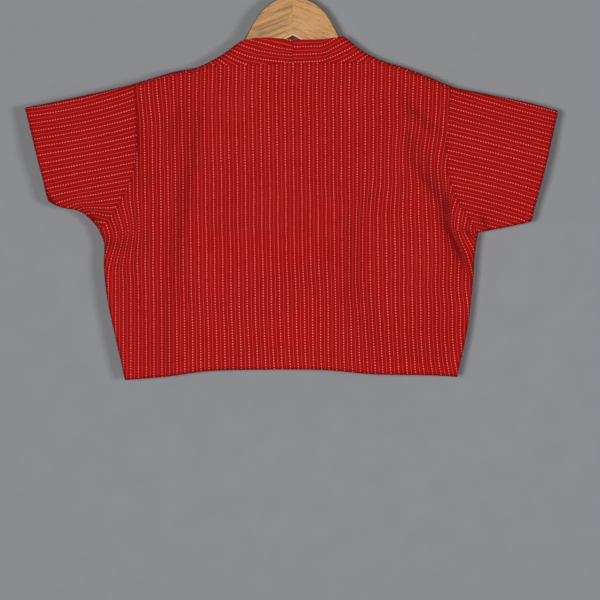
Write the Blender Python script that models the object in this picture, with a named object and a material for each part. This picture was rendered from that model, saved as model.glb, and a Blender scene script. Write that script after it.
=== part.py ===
"""Choli blouse on a wooden hanger: short, boxy, with a cut-on collar and short set-in sleeves.

Lengths are in millimetres until a mesh is made. The drawing plane is X (right, seen from behind) and Z
(up from the centre of the back neck seam). The back of the blouse faces -Y and its fronts face +Y.
Every cloth piece is drawn flat in that plane and then stood off it by depth_of(), so that pieces which
share a seam line meet there. The finished model hangs from its origin, the inside of the hook's crown.
"""

import math
from collections import namedtuple

import bpy
import numpy as np

MM = 0.001
WALL = 1.5  # thickness of every cloth wall
SEAM_GAP = 0.3  # between the walls of two pieces that are sewn together
HALF_GAP = SEAM_GAP / 2

Point = namedtuple("Point", "x z")
Fold = namedtuple("Fold", "x0 z0 x1 z1 width depth")
Side = namedtuple("Side", "sign ridge side sleeve_bottom armhole cuff")
Look = namedtuple("Look", "name colour roughness metallic")

COTTON = Look("red_striped_cotton", (0.37, 0.011, 0.011), 0.85, 0.0)
WOOD = Look("pale_wood", (0.48, 0.26, 0.11), 0.45, 0.0)
WIRE = Look("plated_wire", (0.72, 0.72, 0.73), 0.25, 1.0)

# ---- outline of the hung blouse, as short runs of stations joined by smooth curves --------------------

TIP_X = 193.5  # the armhole seam crosses the shoulder fold this far from the centre
NECK_LEFT = Point(-66.5, 26.4)  # where the collar turns over the shoulder
NECK_RIGHT = Point(64.0, 33.4)
TIP_LEFT = Point(-TIP_X, -23.7)  # where the armhole seam crosses the shoulder fold
TIP_RIGHT = Point(TIP_X, -26.9)
UNDERARM_LEFT = Point(-237.5, -201.0)
UNDERARM_RIGHT = Point(226.5, -206.0)
HEM_LEFT = Point(-204.8, -384.1)
HEM_RIGHT = Point(201.0, -381.5)
CUFF_TOP_LEFT = Point(-326.4, -53.1)
CUFF_TOP_RIGHT = Point(323.5, -57.0)
CUFF_BOTTOM_LEFT = Point(-298.3, -167.6)
CUFF_BOTTOM_RIGHT = Point(290.8, -192.4)

LEFT = Side(
    sign=-1,
    ridge=[NECK_LEFT, Point(-89.7, 9.8), Point(-116.5, -3.8), Point(-148.0, -10.2), TIP_LEFT,
           Point(-262.0, -39.5), CUFF_TOP_LEFT],
    side=[UNDERARM_LEFT, Point(-230.5, -219.0), Point(-231.0, -242.0), Point(-227.9, -280.0),
          Point(-217.3, -332.0), HEM_LEFT],
    sleeve_bottom=[CUFF_BOTTOM_LEFT, Point(-283.0, -175.0), Point(-262.0, -179.3), Point(-249.0, -188.0),
                   UNDERARM_LEFT],
    armhole=[UNDERARM_LEFT, Point(-225.0, -190.3), Point(-209.7, -166.7), Point(-195.5, -137.0),
             Point(-190.0, -112.0), Point(-190.2, -75.0), TIP_LEFT],
    cuff=[CUFF_BOTTOM_LEFT, Point(-312.3, -108.0), CUFF_TOP_LEFT],
)
RIGHT = Side(
    sign=1,
    ridge=[NECK_RIGHT, Point(88.5, 14.6), Point(109.0, 4.3), Point(139.7, -5.3), Point(172.0, -17.8), TIP_RIGHT,
           Point(252.0, -39.1), Point(296.0, -48.6), CUFF_TOP_RIGHT],
    side=[UNDERARM_RIGHT, Point(223.2, -227.0), Point(220.8, -260.0), Point(213.9, -322.0), HEM_RIGHT],
    sleeve_bottom=[CUFF_BOTTOM_RIGHT, Point(262.0, -199.0), Point(239.0, -203.4), UNDERARM_RIGHT],
    armhole=[UNDERARM_RIGHT, Point(213.0, -185.0), Point(197.0, -159.0), Point(190.3, -135.0),
             Point(187.4, -104.0), Point(189.0, -72.0), TIP_RIGHT],
    cuff=[CUFF_BOTTOM_RIGHT, Point(309.7, -116.0), CUFF_TOP_RIGHT],
)

BACK_HEM = [HEM_LEFT, Point(-155.0, -380.2), Point(-107.0, -374.3), Point(-46.0, -372.2), Point(40.0, -372.7),
            Point(95.0, -377.6), Point(168.0, -379.2), HEM_RIGHT]
FRONT_HEM_LIFT = 1.5  # the front hem hangs this much higher than the back one
COLLAR_EDGE = [NECK_LEFT, Point(-50.0, 29.9), Point(-31.0, 30.9), Point(-12.0, 29.1), Point(8.0, 28.3),
               Point(30.0, 28.5), Point(42.0, 29.6), NECK_RIGHT]
NECK_SEAM_TILT = 0.022  # rise of the straight back neck seam for each millimetre to the right
SHOULDER_SEAM_DROP = 3.7  # the shoulder seam lies this far down the back from the fold
SEAM_CORNER = 2.0  # rounding where the neck seam runs into the shoulder seam
SEAM_END = 22.0  # over this length before the armhole the seam bends to meet it
FRONT_LAP = 10.0  # each front reaches this far past the centre
LAP_CLEARANCE = 0.5  # between the two layers of the lap
LAP_SINKS_ACROSS = (-46.0, -15.0)  # the under layer sinks between these distances from the centre
LAP_SINKS_UP = (-112.0, -80.0)  # and rises again between these heights
V_BOTTOM = -150.0  # where the neckline turns into the front edge
NECKLINE = [Point(56.0, 0.0), Point(33.0, -60.0), Point(5.0, -120.0), Point(-FRONT_LAP, V_BOTTOM)]
FRONT_ARMHOLE_SCOOP = 7.0  # the front armhole is cut this much further in

# ---- how far the cloth stands off the drawing plane ----------------------------------------------------

HANGER_HALF = 6.0  # half the hanger's thickness
HANGER_CLEARANCE = 0.9
SHOULDER_ROLL = HANGER_HALF + HANGER_CLEARANCE + WALL  # radius of the fold over the hanger
SIDE_ROLL = 5.0  # radius of the fold at the side seams and under the sleeves
SLEEVE_TOP_ROLL = 5.0  # radius of the sleeve's upper fold, past the hanger
ROLL_EASE = 55.0  # distance over which the depth grows past a fold
BASE_DEPTH = 10.8  # each layer's distance from the plane across the hanger
BACK_FULLNESS = 7.5  # what the back gains by the hem
FRONT_FULLNESS = 8.5
FULLNESS_TOP = -20.0  # the cloth starts to gain depth at this height
FULLNESS_BOTTOM = -330.0  # and has it all here
FLAT_SIDES = 0.45  # share of the gain that is lost towards the side seams
FLAT_SIDES_FROM = 120.0
FLAT_SIDES_TO = 205.0
LEAST_DEPTH = 4.8  # no fold sinks below this
OVER_HANGER_DEPTH = SHOULDER_ROLL + 0.4  # nor below this, over the hanger
HANGER_BELOW_FOLD = 46.0  # the hanger reaches this far below the shoulder fold
HANGER_FADE = 24.0  # and its hold on the depth fades out over this much more
PAST_TIP_FROM = 6.0  # distances past the hanger's tip between which its hold fades out sideways
PAST_TIP_TO = 60.0

BACK_FOLDS = [  # centre line from (x0, z0) to (x1, z1); width is the bell's half width; depth < 0 sinks
    Fold(-120, -42, -147, -239, 11, -3.4),
    Fold(-147, -239, -157, -390, 12, -2.6),
    Fold(-136, -46, -154, -98, 8, -2.0),
    Fold(-186, -52, -187, -140, 7, -1.6),
    Fold(-192, -152, -158, -128, 9, -1.8),
    Fold(-214, -180, -196, -206, 13, 2.6),
    Fold(-228, -224, -190, -216, 8, -2.6),
    Fold(134, -50, 170, -80, 9, -2.4),
    Fold(141, -88, 184, -158, 10, -3.4),
    Fold(183, -176, 214, -252, 10, -5.0),
    Fold(203, -178, 218, -208, 9, 2.4),
    Fold(76, -178, 73, -288, 13, -2.8),
    Fold(73, -288, 112, -345, 13, -2.6),
    Fold(-100, -232, -108, -290, 18, 1.8),
    Fold(24, -290, 2, -352, 30, 2.2),
    Fold(-40, -120, -34, -230, 26, 1.2),
]
FRONT_FOLDS = [
    Fold(-112, -70, -142, -255, 13, -3.2),
    Fold(-142, -255, -150, -390, 13, -2.6),
    Fold(118, -70, 138, -240, 13, -3.0),
    Fold(138, -240, 128, -390, 14, -2.6),
    Fold(-60, -150, -84, -390, 18, 2.4),
    Fold(56, -150, 72, -390, 20, 2.6),
    Fold(-226, -222, -188, -206, 9, -2.6),
    Fold(214, -222, 178, -198, 9, -2.8),
    Fold(-182, -60, -176, -150, 9, -1.8),
    Fold(180, -60, 174, -150, 9, -1.8),
]
FOLD_END = 26.0  # a fold fades out over this much past its ends

# ---- hanger and hook -----------------------------------------------------------------------------------

WOOD_TOP = 84.0  # height of the wood's crown above the back neck seam
WOOD_HALF_SPAN = 214.0
WOOD_TOP_LINE = [Point(0.0, WOOD_TOP), Point(10.0, 82.5), Point(21.3, 78.0), Point(34.8, 68.3),
                 Point(42.7, 58.6), Point(48.8, 48.8), Point(54.3, 39.0), Point(59.6, 30.0),
                 Point(63.0, 22.0), Point(73.0, 13.0), Point(90.0, 4.2), Point(107.0, -4.6),
                 Point(130.0, -10.8), Point(160.0, -19.0), Point(193.0, -32.0), Point(WOOD_HALF_SPAN, -39.0)]
WOOD_BOTTOM_LINE = [Point(0.0, 35.0), Point(9.2, 29.8), Point(30.0, 17.5), Point(60.0, 0.0),
                    Point(107.0, -27.5), Point(160.0, -44.0), Point(WOOD_HALF_SPAN, -56.0)]
WOOD_EDGE_FACE = 2.5  # rounding of the wood's edges at the crown, where it shows
WOOD_EDGE_ARM = 6.0  # and along the arms, under the cloth
WOOD_EDGE_CHANGE = (44.0, 64.0)  # distances from the centre between which the rounding grows
WOOD_TIP_LENGTH = 12.0  # the arm tapers over this length at its tip
WOOD_TIP_TAPER = 0.55  # share of its height lost there
WOOD_CROWN_SHARE = 0.36  # share of an arm's length that makes up the crown
WIRE_RADIUS = 1.75
HOOK_INSIDE = 18.0  # inner radius of the hook
HOOK_BEND = 10.0  # radius of the bend from the stem into the hook
HOOK_RISE = 58.0  # from the wood's crown to the inside of the hook's crown
STEM_IN_WOOD = 24.0
STEM_CLEARANCE = 0.3
HOOK_END_ANGLE = 212.0  # where the hook's open end stops, in degrees round its centre

NECK_SEAM_Z = -(WOOD_TOP + HOOK_RISE)  # the drawing plane's zero, below the model's origin

# ---- spacing of the points -----------------------------------------------------------------------------

ROLL_STEPS = [0.0, 0.9, 2.9, 5.0]  # distances from a side seam, across its fold
SIDE_ROWS = 9
ARM_LOW_STEPS = [0.0, 3.0, 9.0]  # distances from the underarm along the armhole
ARM_MIDDLE_ROWS = 5
ARM_TOP_STEPS_BACK = [14.0, 4.6, 0.0]  # distances from the shoulder seam down the armhole
ARM_TOP_STEPS_FRONT = [SHOULDER_ROLL + 8.0, SHOULDER_ROLL, 3.6, 1.2, 0.0]  # and from the shoulder fold
RIDGE_COLUMNS = 7  # along the shoulder, before the steps at the armhole
COLLAR_COLUMNS = 5
COLLAR_TURN = [8.0, 3.4, 1.0]  # distances from the neck corner, across the turn of the collar
COLLAR_ROWS = 3
SLEEVE_STATIONS = [0.0, 0.05, 0.18, 0.34, 0.5, 0.66, 0.83, 1.0]
CURVE_SAMPLES = 24
SHARP_ANGLE = math.radians(40)


def smooth_curve(stations, samples=CURVE_SAMPLES):
    """A Catmull-Rom curve through the stations, with spacing by chord length, as an array of (x, z)."""
    points = np.array([(p[0], p[1]) for p in stations], float)
    first = 2 * points[0] - points[1]
    last = 2 * points[-1] - points[-2]
    points = np.vstack([first, points, last])
    knots = np.concatenate([[0], np.cumsum(np.sqrt(np.linalg.norm(np.diff(points, axis=0), axis=1)))])
    pieces = []
    for i in range(1, len(points) - 2):
        t0, t1, t2, t3 = knots[i - 1:i + 3]
        t = np.linspace(t1, t2, samples, endpoint=False)[:, None]
        a1 = (t1 - t) / (t1 - t0) * points[i - 1] + (t - t0) / (t1 - t0) * points[i]
        a2 = (t2 - t) / (t2 - t1) * points[i] + (t - t1) / (t2 - t1) * points[i + 1]
        a3 = (t3 - t) / (t3 - t2) * points[i + 1] + (t - t2) / (t3 - t2) * points[i + 2]
        b1 = (t2 - t) / (t2 - t0) * a1 + (t - t0) / (t2 - t0) * a2
        b2 = (t3 - t) / (t3 - t1) * a2 + (t - t1) / (t3 - t1) * a3
        pieces.append((t2 - t) / (t2 - t1) * b1 + (t - t1) / (t2 - t1) * b2)
    return np.vstack(pieces + [points[-2:-1]])


def lengths_along(line):
    """Distance of each point of a polyline from its start."""
    return np.concatenate([[0], np.cumsum(np.linalg.norm(np.diff(line, axis=0), axis=1))])


def at_share(line, share):
    """Points of a polyline at the given shares of its length."""
    along = lengths_along(line)
    where = np.asarray(share, float) * along[-1]
    return np.stack([np.interp(where, along, line[:, k]) for k in range(2)], axis=1)


def at_x(line, x):
    """Height of a curve that runs along X."""
    order = np.argsort(line[:, 0])
    return np.interp(x, line[order, 0], line[order, 1])


def left_normals(line):
    """Unit normals to the left of a polyline's direction, averaged at its points."""
    step = np.diff(line, axis=0)
    step = step / np.maximum(np.linalg.norm(step, axis=1), 1e-9)[:, None]
    step = np.vstack([step[:1], (step[:-1] + step[1:]) / 2, step[-1:]])
    normal = np.stack([-step[:, 1], step[:, 0]], axis=1)
    return normal / np.linalg.norm(normal, axis=1)[:, None]


def ease(value, low, high):
    """A smooth step from 0 at low to 1 at high."""
    t = np.clip((np.asarray(value, float) - low) / (high - low), 0, 1)
    return t * t * (3 - 2 * t)


def smooth_max(a, b, rounding=0.7):
    """The larger of two values, rounded where they cross."""
    return (a + b + np.sqrt((a - b) ** 2 + rounding ** 2)) / 2


# ---- folded edges of the outline, each run so that the cloth lies on its left -----------------------------

EDGE_REACH = 14.0  # the folded edges run on by this much past the openings
SLOPE_STEP = 0.5  # half the distance over which the cloth's slope is taken
ON_LINE = 0.05  # a point this near an edge takes its direction from the edge


def beyond(line):
    """A point straight on from the end of a polyline."""
    last = line[-1] - line[-2]
    return line[-1] + last / np.linalg.norm(last) * EDGE_REACH


def ridge_edge(side):
    """The shoulder and the sleeve's upper fold, from the cuff to the neck and on up beside the collar."""
    line = smooth_curve(side.ridge)[::-1]
    line = np.vstack([beyond(line[::-1]), line, line[-1] + (0, EDGE_REACH)])
    return line[::-1] if side.sign < 0 else line


def lower_edge(side):
    """The sleeve's lower fold and the side seam, from the cuff to the hem."""
    line = np.vstack([smooth_curve(side.sleeve_bottom)[:-1], smooth_curve(side.side)])
    line = np.vstack([beyond(line[::-1]), line, beyond(line)])
    return line if side.sign < 0 else line[::-1]


RIDGES = [ridge_edge(LEFT), ridge_edge(RIGHT)]
LOWER_EDGES = [lower_edge(LEFT), lower_edge(RIGHT)]


def nearest_on(line, points):
    """Distance from each point to a polyline, and the direction from the line into the cloth."""
    a = line[:-1]
    step = line[1:] - a
    size = np.maximum((step * step).sum(1), 1e-12)
    t = np.clip(((points[:, None] - a) * step).sum(2) / size, 0, 1)
    away = points[:, None] - (a + t[:, :, None] * step)
    distance = np.linalg.norm(away, axis=2)
    best = distance.argmin(1)
    row = np.arange(len(points))
    share = t[row, best][:, None]
    normals = left_normals(line)
    inward = (1 - share) * normals[best] + share * normals[best + 1]
    away, distance = away[row, best], distance[row, best]
    clear = distance > ON_LINE
    inward[clear] = away[clear] / distance[clear, None]
    return distance, inward / np.linalg.norm(inward, axis=1)[:, None]


def nearest_edge(points):
    """Distance to the nearest folded edge, the direction away from it, and that fold's radius."""
    found = [nearest_on(line, points) for line in RIDGES + LOWER_EDGES]
    distances = np.array([distance for distance, _ in found])
    best = distances.argmin(0)
    row = np.arange(len(points))
    inward = np.array([direction for _, direction in found])[best, row]
    past_hanger = ease(np.abs(points[:, 0]), WOOD_HALF_SPAN + PAST_TIP_FROM, WOOD_HALF_SPAN + PAST_TIP_TO)
    ridge_radius = SHOULDER_ROLL + (SLEEVE_TOP_ROLL - SHOULDER_ROLL) * past_hanger
    radius = np.where(best < len(RIDGES), ridge_radius, SIDE_ROLL)
    return distances[best, row], inward, radius


def fold_height(folds, points):
    """Sum of the folds: each is a bell across its centre line and fades past the ends."""
    total = np.zeros(len(points))
    for fold in folds:
        start = np.array([fold.x0, fold.z0], float)
        along = np.array([fold.x1, fold.z1], float) - start
        length = np.linalg.norm(along)
        along = along / length
        run = (points - start) @ along
        across = (points - start) @ np.array([-along[1], along[0]])
        fade = ease(run, -FOLD_END, FOLD_END) * (1 - ease(run, length - FOLD_END, length + FOLD_END))
        total += fold.depth * fade * np.exp(-((across / fold.width) ** 2))
    return total


def cloth_level(points, face):
    """Distance from the plane of the cloth away from its folded edges. face is -1 at the back, 1 in front."""
    x, z = points[:, 0], points[:, 1]
    gain = BACK_FULLNESS if face < 0 else FRONT_FULLNESS
    flat_side = 1 - FLAT_SIDES * ease(np.abs(x), FLAT_SIDES_FROM, FLAT_SIDES_TO)
    full = ease(-z, -FULLNESS_TOP, -FULLNESS_BOTTOM) * flat_side
    level = BASE_DEPTH + gain * full + fold_height(BACK_FOLDS if face < 0 else FRONT_FOLDS, points)
    ridge = np.where(x < 0, at_x(RIDGES[0], x), at_x(RIDGES[1], x))
    over_hanger = 1 - ease(ridge - z, HANGER_BELOW_FOLD, HANGER_BELOW_FOLD + HANGER_FADE)
    over_hanger *= 1 - ease(np.abs(x), WOOD_HALF_SPAN + PAST_TIP_FROM, WOOD_HALF_SPAN + PAST_TIP_TO)
    least = LEAST_DEPTH + (OVER_HANGER_DEPTH - LEAST_DEPTH) * over_hanger
    return smooth_max(level, least)


def depth_of(points, face):
    """Distance of the outer surface from the plane: a round fold at each edge, easing to cloth_level()."""
    distance, _, radius = nearest_edge(points)
    level = cloth_level(points, face)
    turned = np.sqrt(np.maximum(radius ** 2 - (radius - np.minimum(distance, radius)) ** 2, 0))
    return turned + (level - radius) * ease(distance - radius, 0, ROLL_EASE)


def surface(points, face, sink=None):
    """Outer surface points and outward normals for points of the plane. sink lowers the cloth by a depth."""
    points = np.asarray(points, float)
    distance, inward, radius = nearest_edge(points)
    sink = np.zeros(len(points)) if sink is None else sink
    depth = depth_of(points, face) - sink
    rises = [depth_of(points + move, face) - depth_of(points - move, face) for move in SLOPE_STEP * np.eye(2)]
    slope_x, slope_z = np.array(rises) / (2 * SLOPE_STEP)
    normal = np.stack([-slope_x, np.full(len(points), float(face)), -slope_z], axis=1)
    rolled = distance < radius
    cosine = np.clip(1 - distance / radius, 0, 1)
    sine = np.sqrt(1 - cosine ** 2)
    roll_normal = np.stack([-cosine * inward[:, 0], face * sine, -cosine * inward[:, 1]], axis=1)
    normal = np.where(rolled[:, None], roll_normal, normal / np.linalg.norm(normal, axis=1)[:, None])
    outer = np.stack([points[:, 0], face * depth, points[:, 1]], axis=1)
    return outer, normal


# ---- meshes ------------------------------------------------------------------------------------------------

def index_quads(index):
    """Quads of a grid of point numbers."""
    corners = [index[:-1, :-1], index[:-1, 1:], index[1:, 1:], index[1:, :-1]]
    return np.stack([corner.ravel() for corner in corners], axis=1)


def grid_quads(rows, columns):
    """Quads of a grid of points stored row by row."""
    return index_quads(np.arange(rows * columns).reshape(rows, columns))


def coons(bottom, top, left, right, across, up):
    """A grid of points between four edges. across and up are the edges' own spacings, from 0 to 1."""
    s, t = across[None, :, None], up[:, None, None]
    ruled = (1 - t) * bottom[None] + t * top[None] + (1 - s) * left[:, None] + s * right[:, None]
    low_corners = (1 - t) * ((1 - s) * bottom[0] + s * bottom[-1])
    high_corners = t * ((1 - s) * top[0] + s * top[-1])
    return ruled - low_corners - high_corners


def add_object(name, points, faces, look):
    """A mesh object from points in drawing millimetres, moved down to hang from the origin."""
    placed = (np.asarray(points, float) + (0, 0, NECK_SEAM_Z)) * MM
    mesh = bpy.data.meshes.new(name)
    mesh.from_pydata(placed.tolist(), [], [tuple(int(i) for i in face) for face in faces])
    material = bpy.data.materials.new(f"{name}_{look.name}")
    material.use_nodes = True
    shader = material.node_tree.nodes["Principled BSDF"]
    shader.inputs["Base Color"].default_value = (*look.colour, 1.0)
    shader.inputs["Roughness"].default_value = look.roughness
    shader.inputs["Metallic"].default_value = look.metallic
    mesh.materials.append(material)
    mesh.shade_smooth()
    mesh.set_sharp_from_angle(angle=SHARP_ANGLE)
    made = bpy.data.objects.new(name, mesh)
    bpy.context.scene.collection.objects.link(made)
    return made


def cloth_wall(name, outer, normals, quads):
    """A closed wall: the outer surface, the same surface WALL further in, and a rim round every free edge.

    Two pieces sewn together split their rims along the same diagonals, so their gap keeps its width.
    """
    count = len(outer)
    inner = outer - WALL * normals
    sides = {(a, b): None for quad in quads.tolist() for a, b in zip(quad, quad[1:] + quad[:1])}
    rim = []
    order = np.abs(outer[:, 0]) - 2 * outer[:, 2]
    for a, b in sides:
        if (b, a) in sides:
            continue
        if order[a] < order[b]:
            rim += [(b, a, b + count), (a, a + count, b + count)]
        else:
            rim += [(b, a, a + count), (b, a + count, b + count)]
    faces = quads.tolist() + (quads[:, ::-1] + count).tolist() + rim
    return add_object(name, np.vstack([outer, inner]), faces, COTTON)


# ---- seams shared by the pieces ----------------------------------------------------------------------------

def side_shares():
    """Shares of the side seam's length, from the hem up to the underarm."""
    return np.linspace(0, 1, SIDE_ROWS + 1)


def arm_shares(length, to_ridge):
    """Shares of an armhole's length from the underarm up, close together where the cloth folds over."""
    high = ARM_TOP_STEPS_FRONT if to_ridge else ARM_TOP_STEPS_BACK
    middle = np.linspace(ARM_LOW_STEPS[-1], length - high[0], ARM_MIDDLE_ROWS + 2)[1:-1]
    return np.concatenate([ARM_LOW_STEPS, middle, length - np.array(high)]) / length


def underside_curve(side):
    """The sleeve's lower fold from the underarm to the cuff."""
    return smooth_curve(side.sleeve_bottom)[::-1]


def armhole_curve(side, face):
    """The armhole seam from the underarm to the shoulder fold; the front is scooped a little further in."""
    line = smooth_curve(side.armhole)
    if face > 0:
        share = lengths_along(line) / lengths_along(line)[-1]
        line[:, 0] -= side.sign * FRONT_ARMHOLE_SCOOP * np.sin(math.pi * share) ** 2
    return line


def back_armhole(side):
    """The back's part of the armhole: it stops at the shoulder seam, short of the fold."""
    line = armhole_curve(side, -1)
    length = lengths_along(line)[-1]
    part = (length - SHOULDER_SEAM_DROP) / length
    return at_share(line, np.linspace(0, part, len(line)))


def armhole_stations(side, face):
    """The seam's shared points from the underarm up, on its true line."""
    line = back_armhole(side) if face < 0 else armhole_curve(side, 1)
    return at_share(line, arm_shares(lengths_along(line)[-1], face > 0))


def ridge_stations(side):
    """X of the columns along the shoulder fold, from the neck to the armhole, narrow near the armhole."""
    tip = side.sign * TIP_X
    wide = np.linspace(side.ridge[0].x, tip - side.sign * ROLL_STEPS[-1], RIDGE_COLUMNS + 2)
    return np.concatenate([wide, tip - side.sign * np.array(ROLL_STEPS[-2::-1])])


def top_x(side):
    """X of every column from the centre back to the shoulder tip, close together where the collar turns."""
    corner = side.ridge[0].x
    turn = corner - side.sign * np.array(COLLAR_TURN)
    collar = np.concatenate([np.linspace(side.sign * HALF_GAP, turn[0], COLLAR_COLUMNS), turn[1:]])
    return np.concatenate([collar, ridge_stations(side)])


def seam_height(side, x):
    """Height of the seam between the back and the collar, and on along the shoulder."""
    straight = NECK_SEAM_TILT * x
    shoulder = at_x(smooth_curve(side.ridge), x) - SHOULDER_SEAM_DROP
    return -smooth_max(-straight, -shoulder, SEAM_CORNER)


def back_top_edge(side):
    """The back's top edge from the centre to the shoulder tip, on the seam's true line."""
    x = top_x(side)
    edge = np.stack([x, seam_height(side, x)], axis=1)
    near_armhole = ease(np.abs(x), TIP_X - SEAM_END, TIP_X)
    return edge + near_armhole[:, None] * (back_armhole(side)[-1] - edge[-1])


def collar_top_edge(side):
    """The collar's free edge and then the shoulder fold, from the centre back to the shoulder tip."""
    x = top_x(side)
    ridge = at_x(smooth_curve(side.ridge), x)
    edge = at_x(smooth_curve(COLLAR_EDGE), x)
    z = np.where(np.abs(x) < abs(side.ridge[0].x), edge, ridge)
    return np.stack([x, z], axis=1)


# ---- the cut pieces ----------------------------------------------------------------------------------------

def build_back():
    """The back: one piece from hem to shoulder seams, bounded by the side seams and armholes."""
    rails, tops = [], []
    for side in (LEFT, RIGHT):
        seam = at_share(smooth_curve(side.side)[::-1], side_shares())
        stations = armhole_stations(side, -1)
        arm = stations + side.sign * HALF_GAP * left_normals(stations)
        arm[-1] = arm[-1] + (0, -HALF_GAP)
        rails.append(np.vstack([seam[:-1], arm]))
        tops.append(back_top_edge(side))
    centre = [[0.0, (tops[0][0, 1] + tops[1][0, 1]) / 2]]
    top = np.vstack([tops[0][:0:-1], centre, tops[1][1:]]) + (0, -HALF_GAP)
    top[0], top[-1] = rails[0][-1], rails[1][-1]
    across = (top[:, 0] - top[0, 0]) / (top[-1, 0] - top[0, 0])
    hem_x = HEM_LEFT.x + across * (HEM_RIGHT.x - HEM_LEFT.x)
    hem = np.stack([hem_x, at_x(smooth_curve(BACK_HEM), hem_x)], axis=1)
    up = lengths_along(rails[0]) / lengths_along(rails[0])[-1]
    plane = coons(hem, top, rails[0], rails[1], across, up)
    rows, columns = plane.shape[:2]
    outer, normals = surface(plane.reshape(-1, 2), -1)
    seam_rows = np.arange(SIDE_ROWS + 1)
    seam_edge = np.concatenate([seam_rows * columns, seam_rows * columns + columns - 1])
    outer[seam_edge, 1] = np.minimum(outer[seam_edge, 1], -HALF_GAP)
    return cloth_wall("back", outer, normals, grid_quads(rows, columns))


def neckline_x(side, z):
    """Distance of a front's neckline or front edge from the centre, away from its own side where negative."""
    curve = smooth_curve([Point(abs(side.ridge[0].x), side.ridge[0].z)] + NECKLINE)
    return side.sign * np.interp(z, curve[::-1, 1], curve[::-1, 0])


def under_lap(side, points):
    """How far the left front sinks to lie beneath the right one."""
    if side.sign > 0:
        return np.zeros(len(points))
    across = ease(points[:, 0], *LAP_SINKS_ACROSS)
    return (WALL + LAP_CLEARANCE) * across * (1 - ease(points[:, 1], *LAP_SINKS_UP))


def front_panel(side):
    """Points of the plane for a front from its hem (first row) to the shoulder fold (last row)."""
    seam = at_share(smooth_curve(side.side)[::-1], side_shares())
    stations = armhole_stations(side, 1)
    outer_rail = np.vstack([seam[:-1], stations + side.sign * HALF_GAP * left_normals(stations)])
    outer_rail[:SIDE_ROWS, 1] += FRONT_HEM_LIFT * (1 - side_shares()[:-1])
    ridge_x = ridge_stations(side)
    ridge = np.stack([ridge_x, at_x(smooth_curve(side.ridge), ridge_x)], axis=1)
    ridge[-1] = outer_rail[-1]
    across = (ridge[:, 0] - ridge[0, 0]) / (ridge[-1, 0] - ridge[0, 0])
    hem_x = -side.sign * FRONT_LAP + across * (outer_rail[0, 0] + side.sign * FRONT_LAP)
    hem = np.stack([hem_x, at_x(smooth_curve(BACK_HEM), hem_x) + FRONT_HEM_LIFT], axis=1)
    hem[-1] = outer_rail[0]
    rise = (outer_rail[:, 1] - outer_rail[0, 1]) / (outer_rail[-1, 1] - outer_rail[0, 1])
    inner_z = hem[0, 1] + rise * (ridge[0, 1] - hem[0, 1])
    inner_rail = np.stack([neckline_x(side, inner_z), inner_z], axis=1)
    inner_rail[0], inner_rail[-1] = hem[0], ridge[0]
    return coons(hem, ridge, inner_rail, outer_rail, across, rise)


def collar_and_shoulder(side, tip):
    """Points of the plane behind the fold, from the collar's free edge or the fold down to the seam."""
    top = collar_top_edge(side)
    bottom = back_top_edge(side) + (0, HALF_GAP)
    bottom[-1] += tip - top[-1]
    top[-1] = tip
    share = np.linspace(0, 1, COLLAR_ROWS + 1)[:, None, None]
    return (1 - share) * top[None] + share * bottom[None]


def build_front(name, side):
    """A front and its half of the collar: up from the hem, over the shoulder, round to the centre back."""
    panel = front_panel(side)
    rows, columns = panel.shape[:2]
    flat = panel.reshape(-1, 2)
    outer, normals = surface(flat, 1, under_lap(side, flat))
    seam_edge = np.arange(SIDE_ROWS + 1) * columns + columns - 1
    outer[seam_edge, 1] = np.maximum(outer[seam_edge, 1], HALF_GAP)
    fold_first = (rows - 1) * columns
    outer[fold_first:, 1] = 0.0

    behind = collar_and_shoulder(side, panel[-1, -1])
    wide = behind.shape[1]
    collar_columns = wide - columns
    edge_outer, edge_normals = surface(behind[0, :collar_columns], -1)
    rest_outer, rest_normals = surface(behind[1:].reshape(-1, 2), -1)
    count = len(outer)
    outer = np.vstack([outer, edge_outer, rest_outer])
    normals = np.vstack([normals, edge_normals, rest_normals])
    first_row = np.concatenate([count + np.arange(collar_columns), fold_first + np.arange(columns)])
    other_rows = count + collar_columns + np.arange(COLLAR_ROWS * wide).reshape(COLLAR_ROWS, wide)
    quads = np.vstack([grid_quads(rows, columns), index_quads(np.vstack([first_row, other_rows]))])
    return cloth_wall(name, outer, normals, quads[:, ::-1] if side.sign > 0 else quads)


def sleeve_layer(side, face):
    """Outer points and normals of one layer of a sleeve, as rows from the underside up to the upper fold."""
    ridge = smooth_curve(side.ridge)
    tip_share = np.interp(TIP_X, np.abs(ridge[:, 0]), lengths_along(ridge) / lengths_along(ridge)[-1])
    along = np.array(SLEEVE_STATIONS)
    high = at_share(ridge, tip_share + along * (1 - tip_share))
    low = at_share(underside_curve(side), along)
    seam = armhole_stations(side, face)
    if face < 0:
        past_seam = np.vstack([back_armhole(side)[-1], armhole_curve(side, -1)[-1]])
        seam = np.vstack([seam, at_share(past_seam, np.linspace(0, 1, COLLAR_ROWS + 1)[1:])])
    around = lengths_along(seam) / lengths_along(seam)[-1]
    seam = seam - side.sign * HALF_GAP * left_normals(seam)
    for edge in (low, high):
        edge[0] += (edge[1] - edge[0]) * HALF_GAP / np.linalg.norm(edge[1] - edge[0])
    seam[0], seam[-1] = low[0], high[0]
    plane = coons(low, high, seam, at_share(smooth_curve(side.cuff), around), along, around)
    points, normals = surface(plane.reshape(-1, 2), face)
    return points.reshape(*plane.shape[:2], 3), normals.reshape(*plane.shape[:2], 3)


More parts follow.
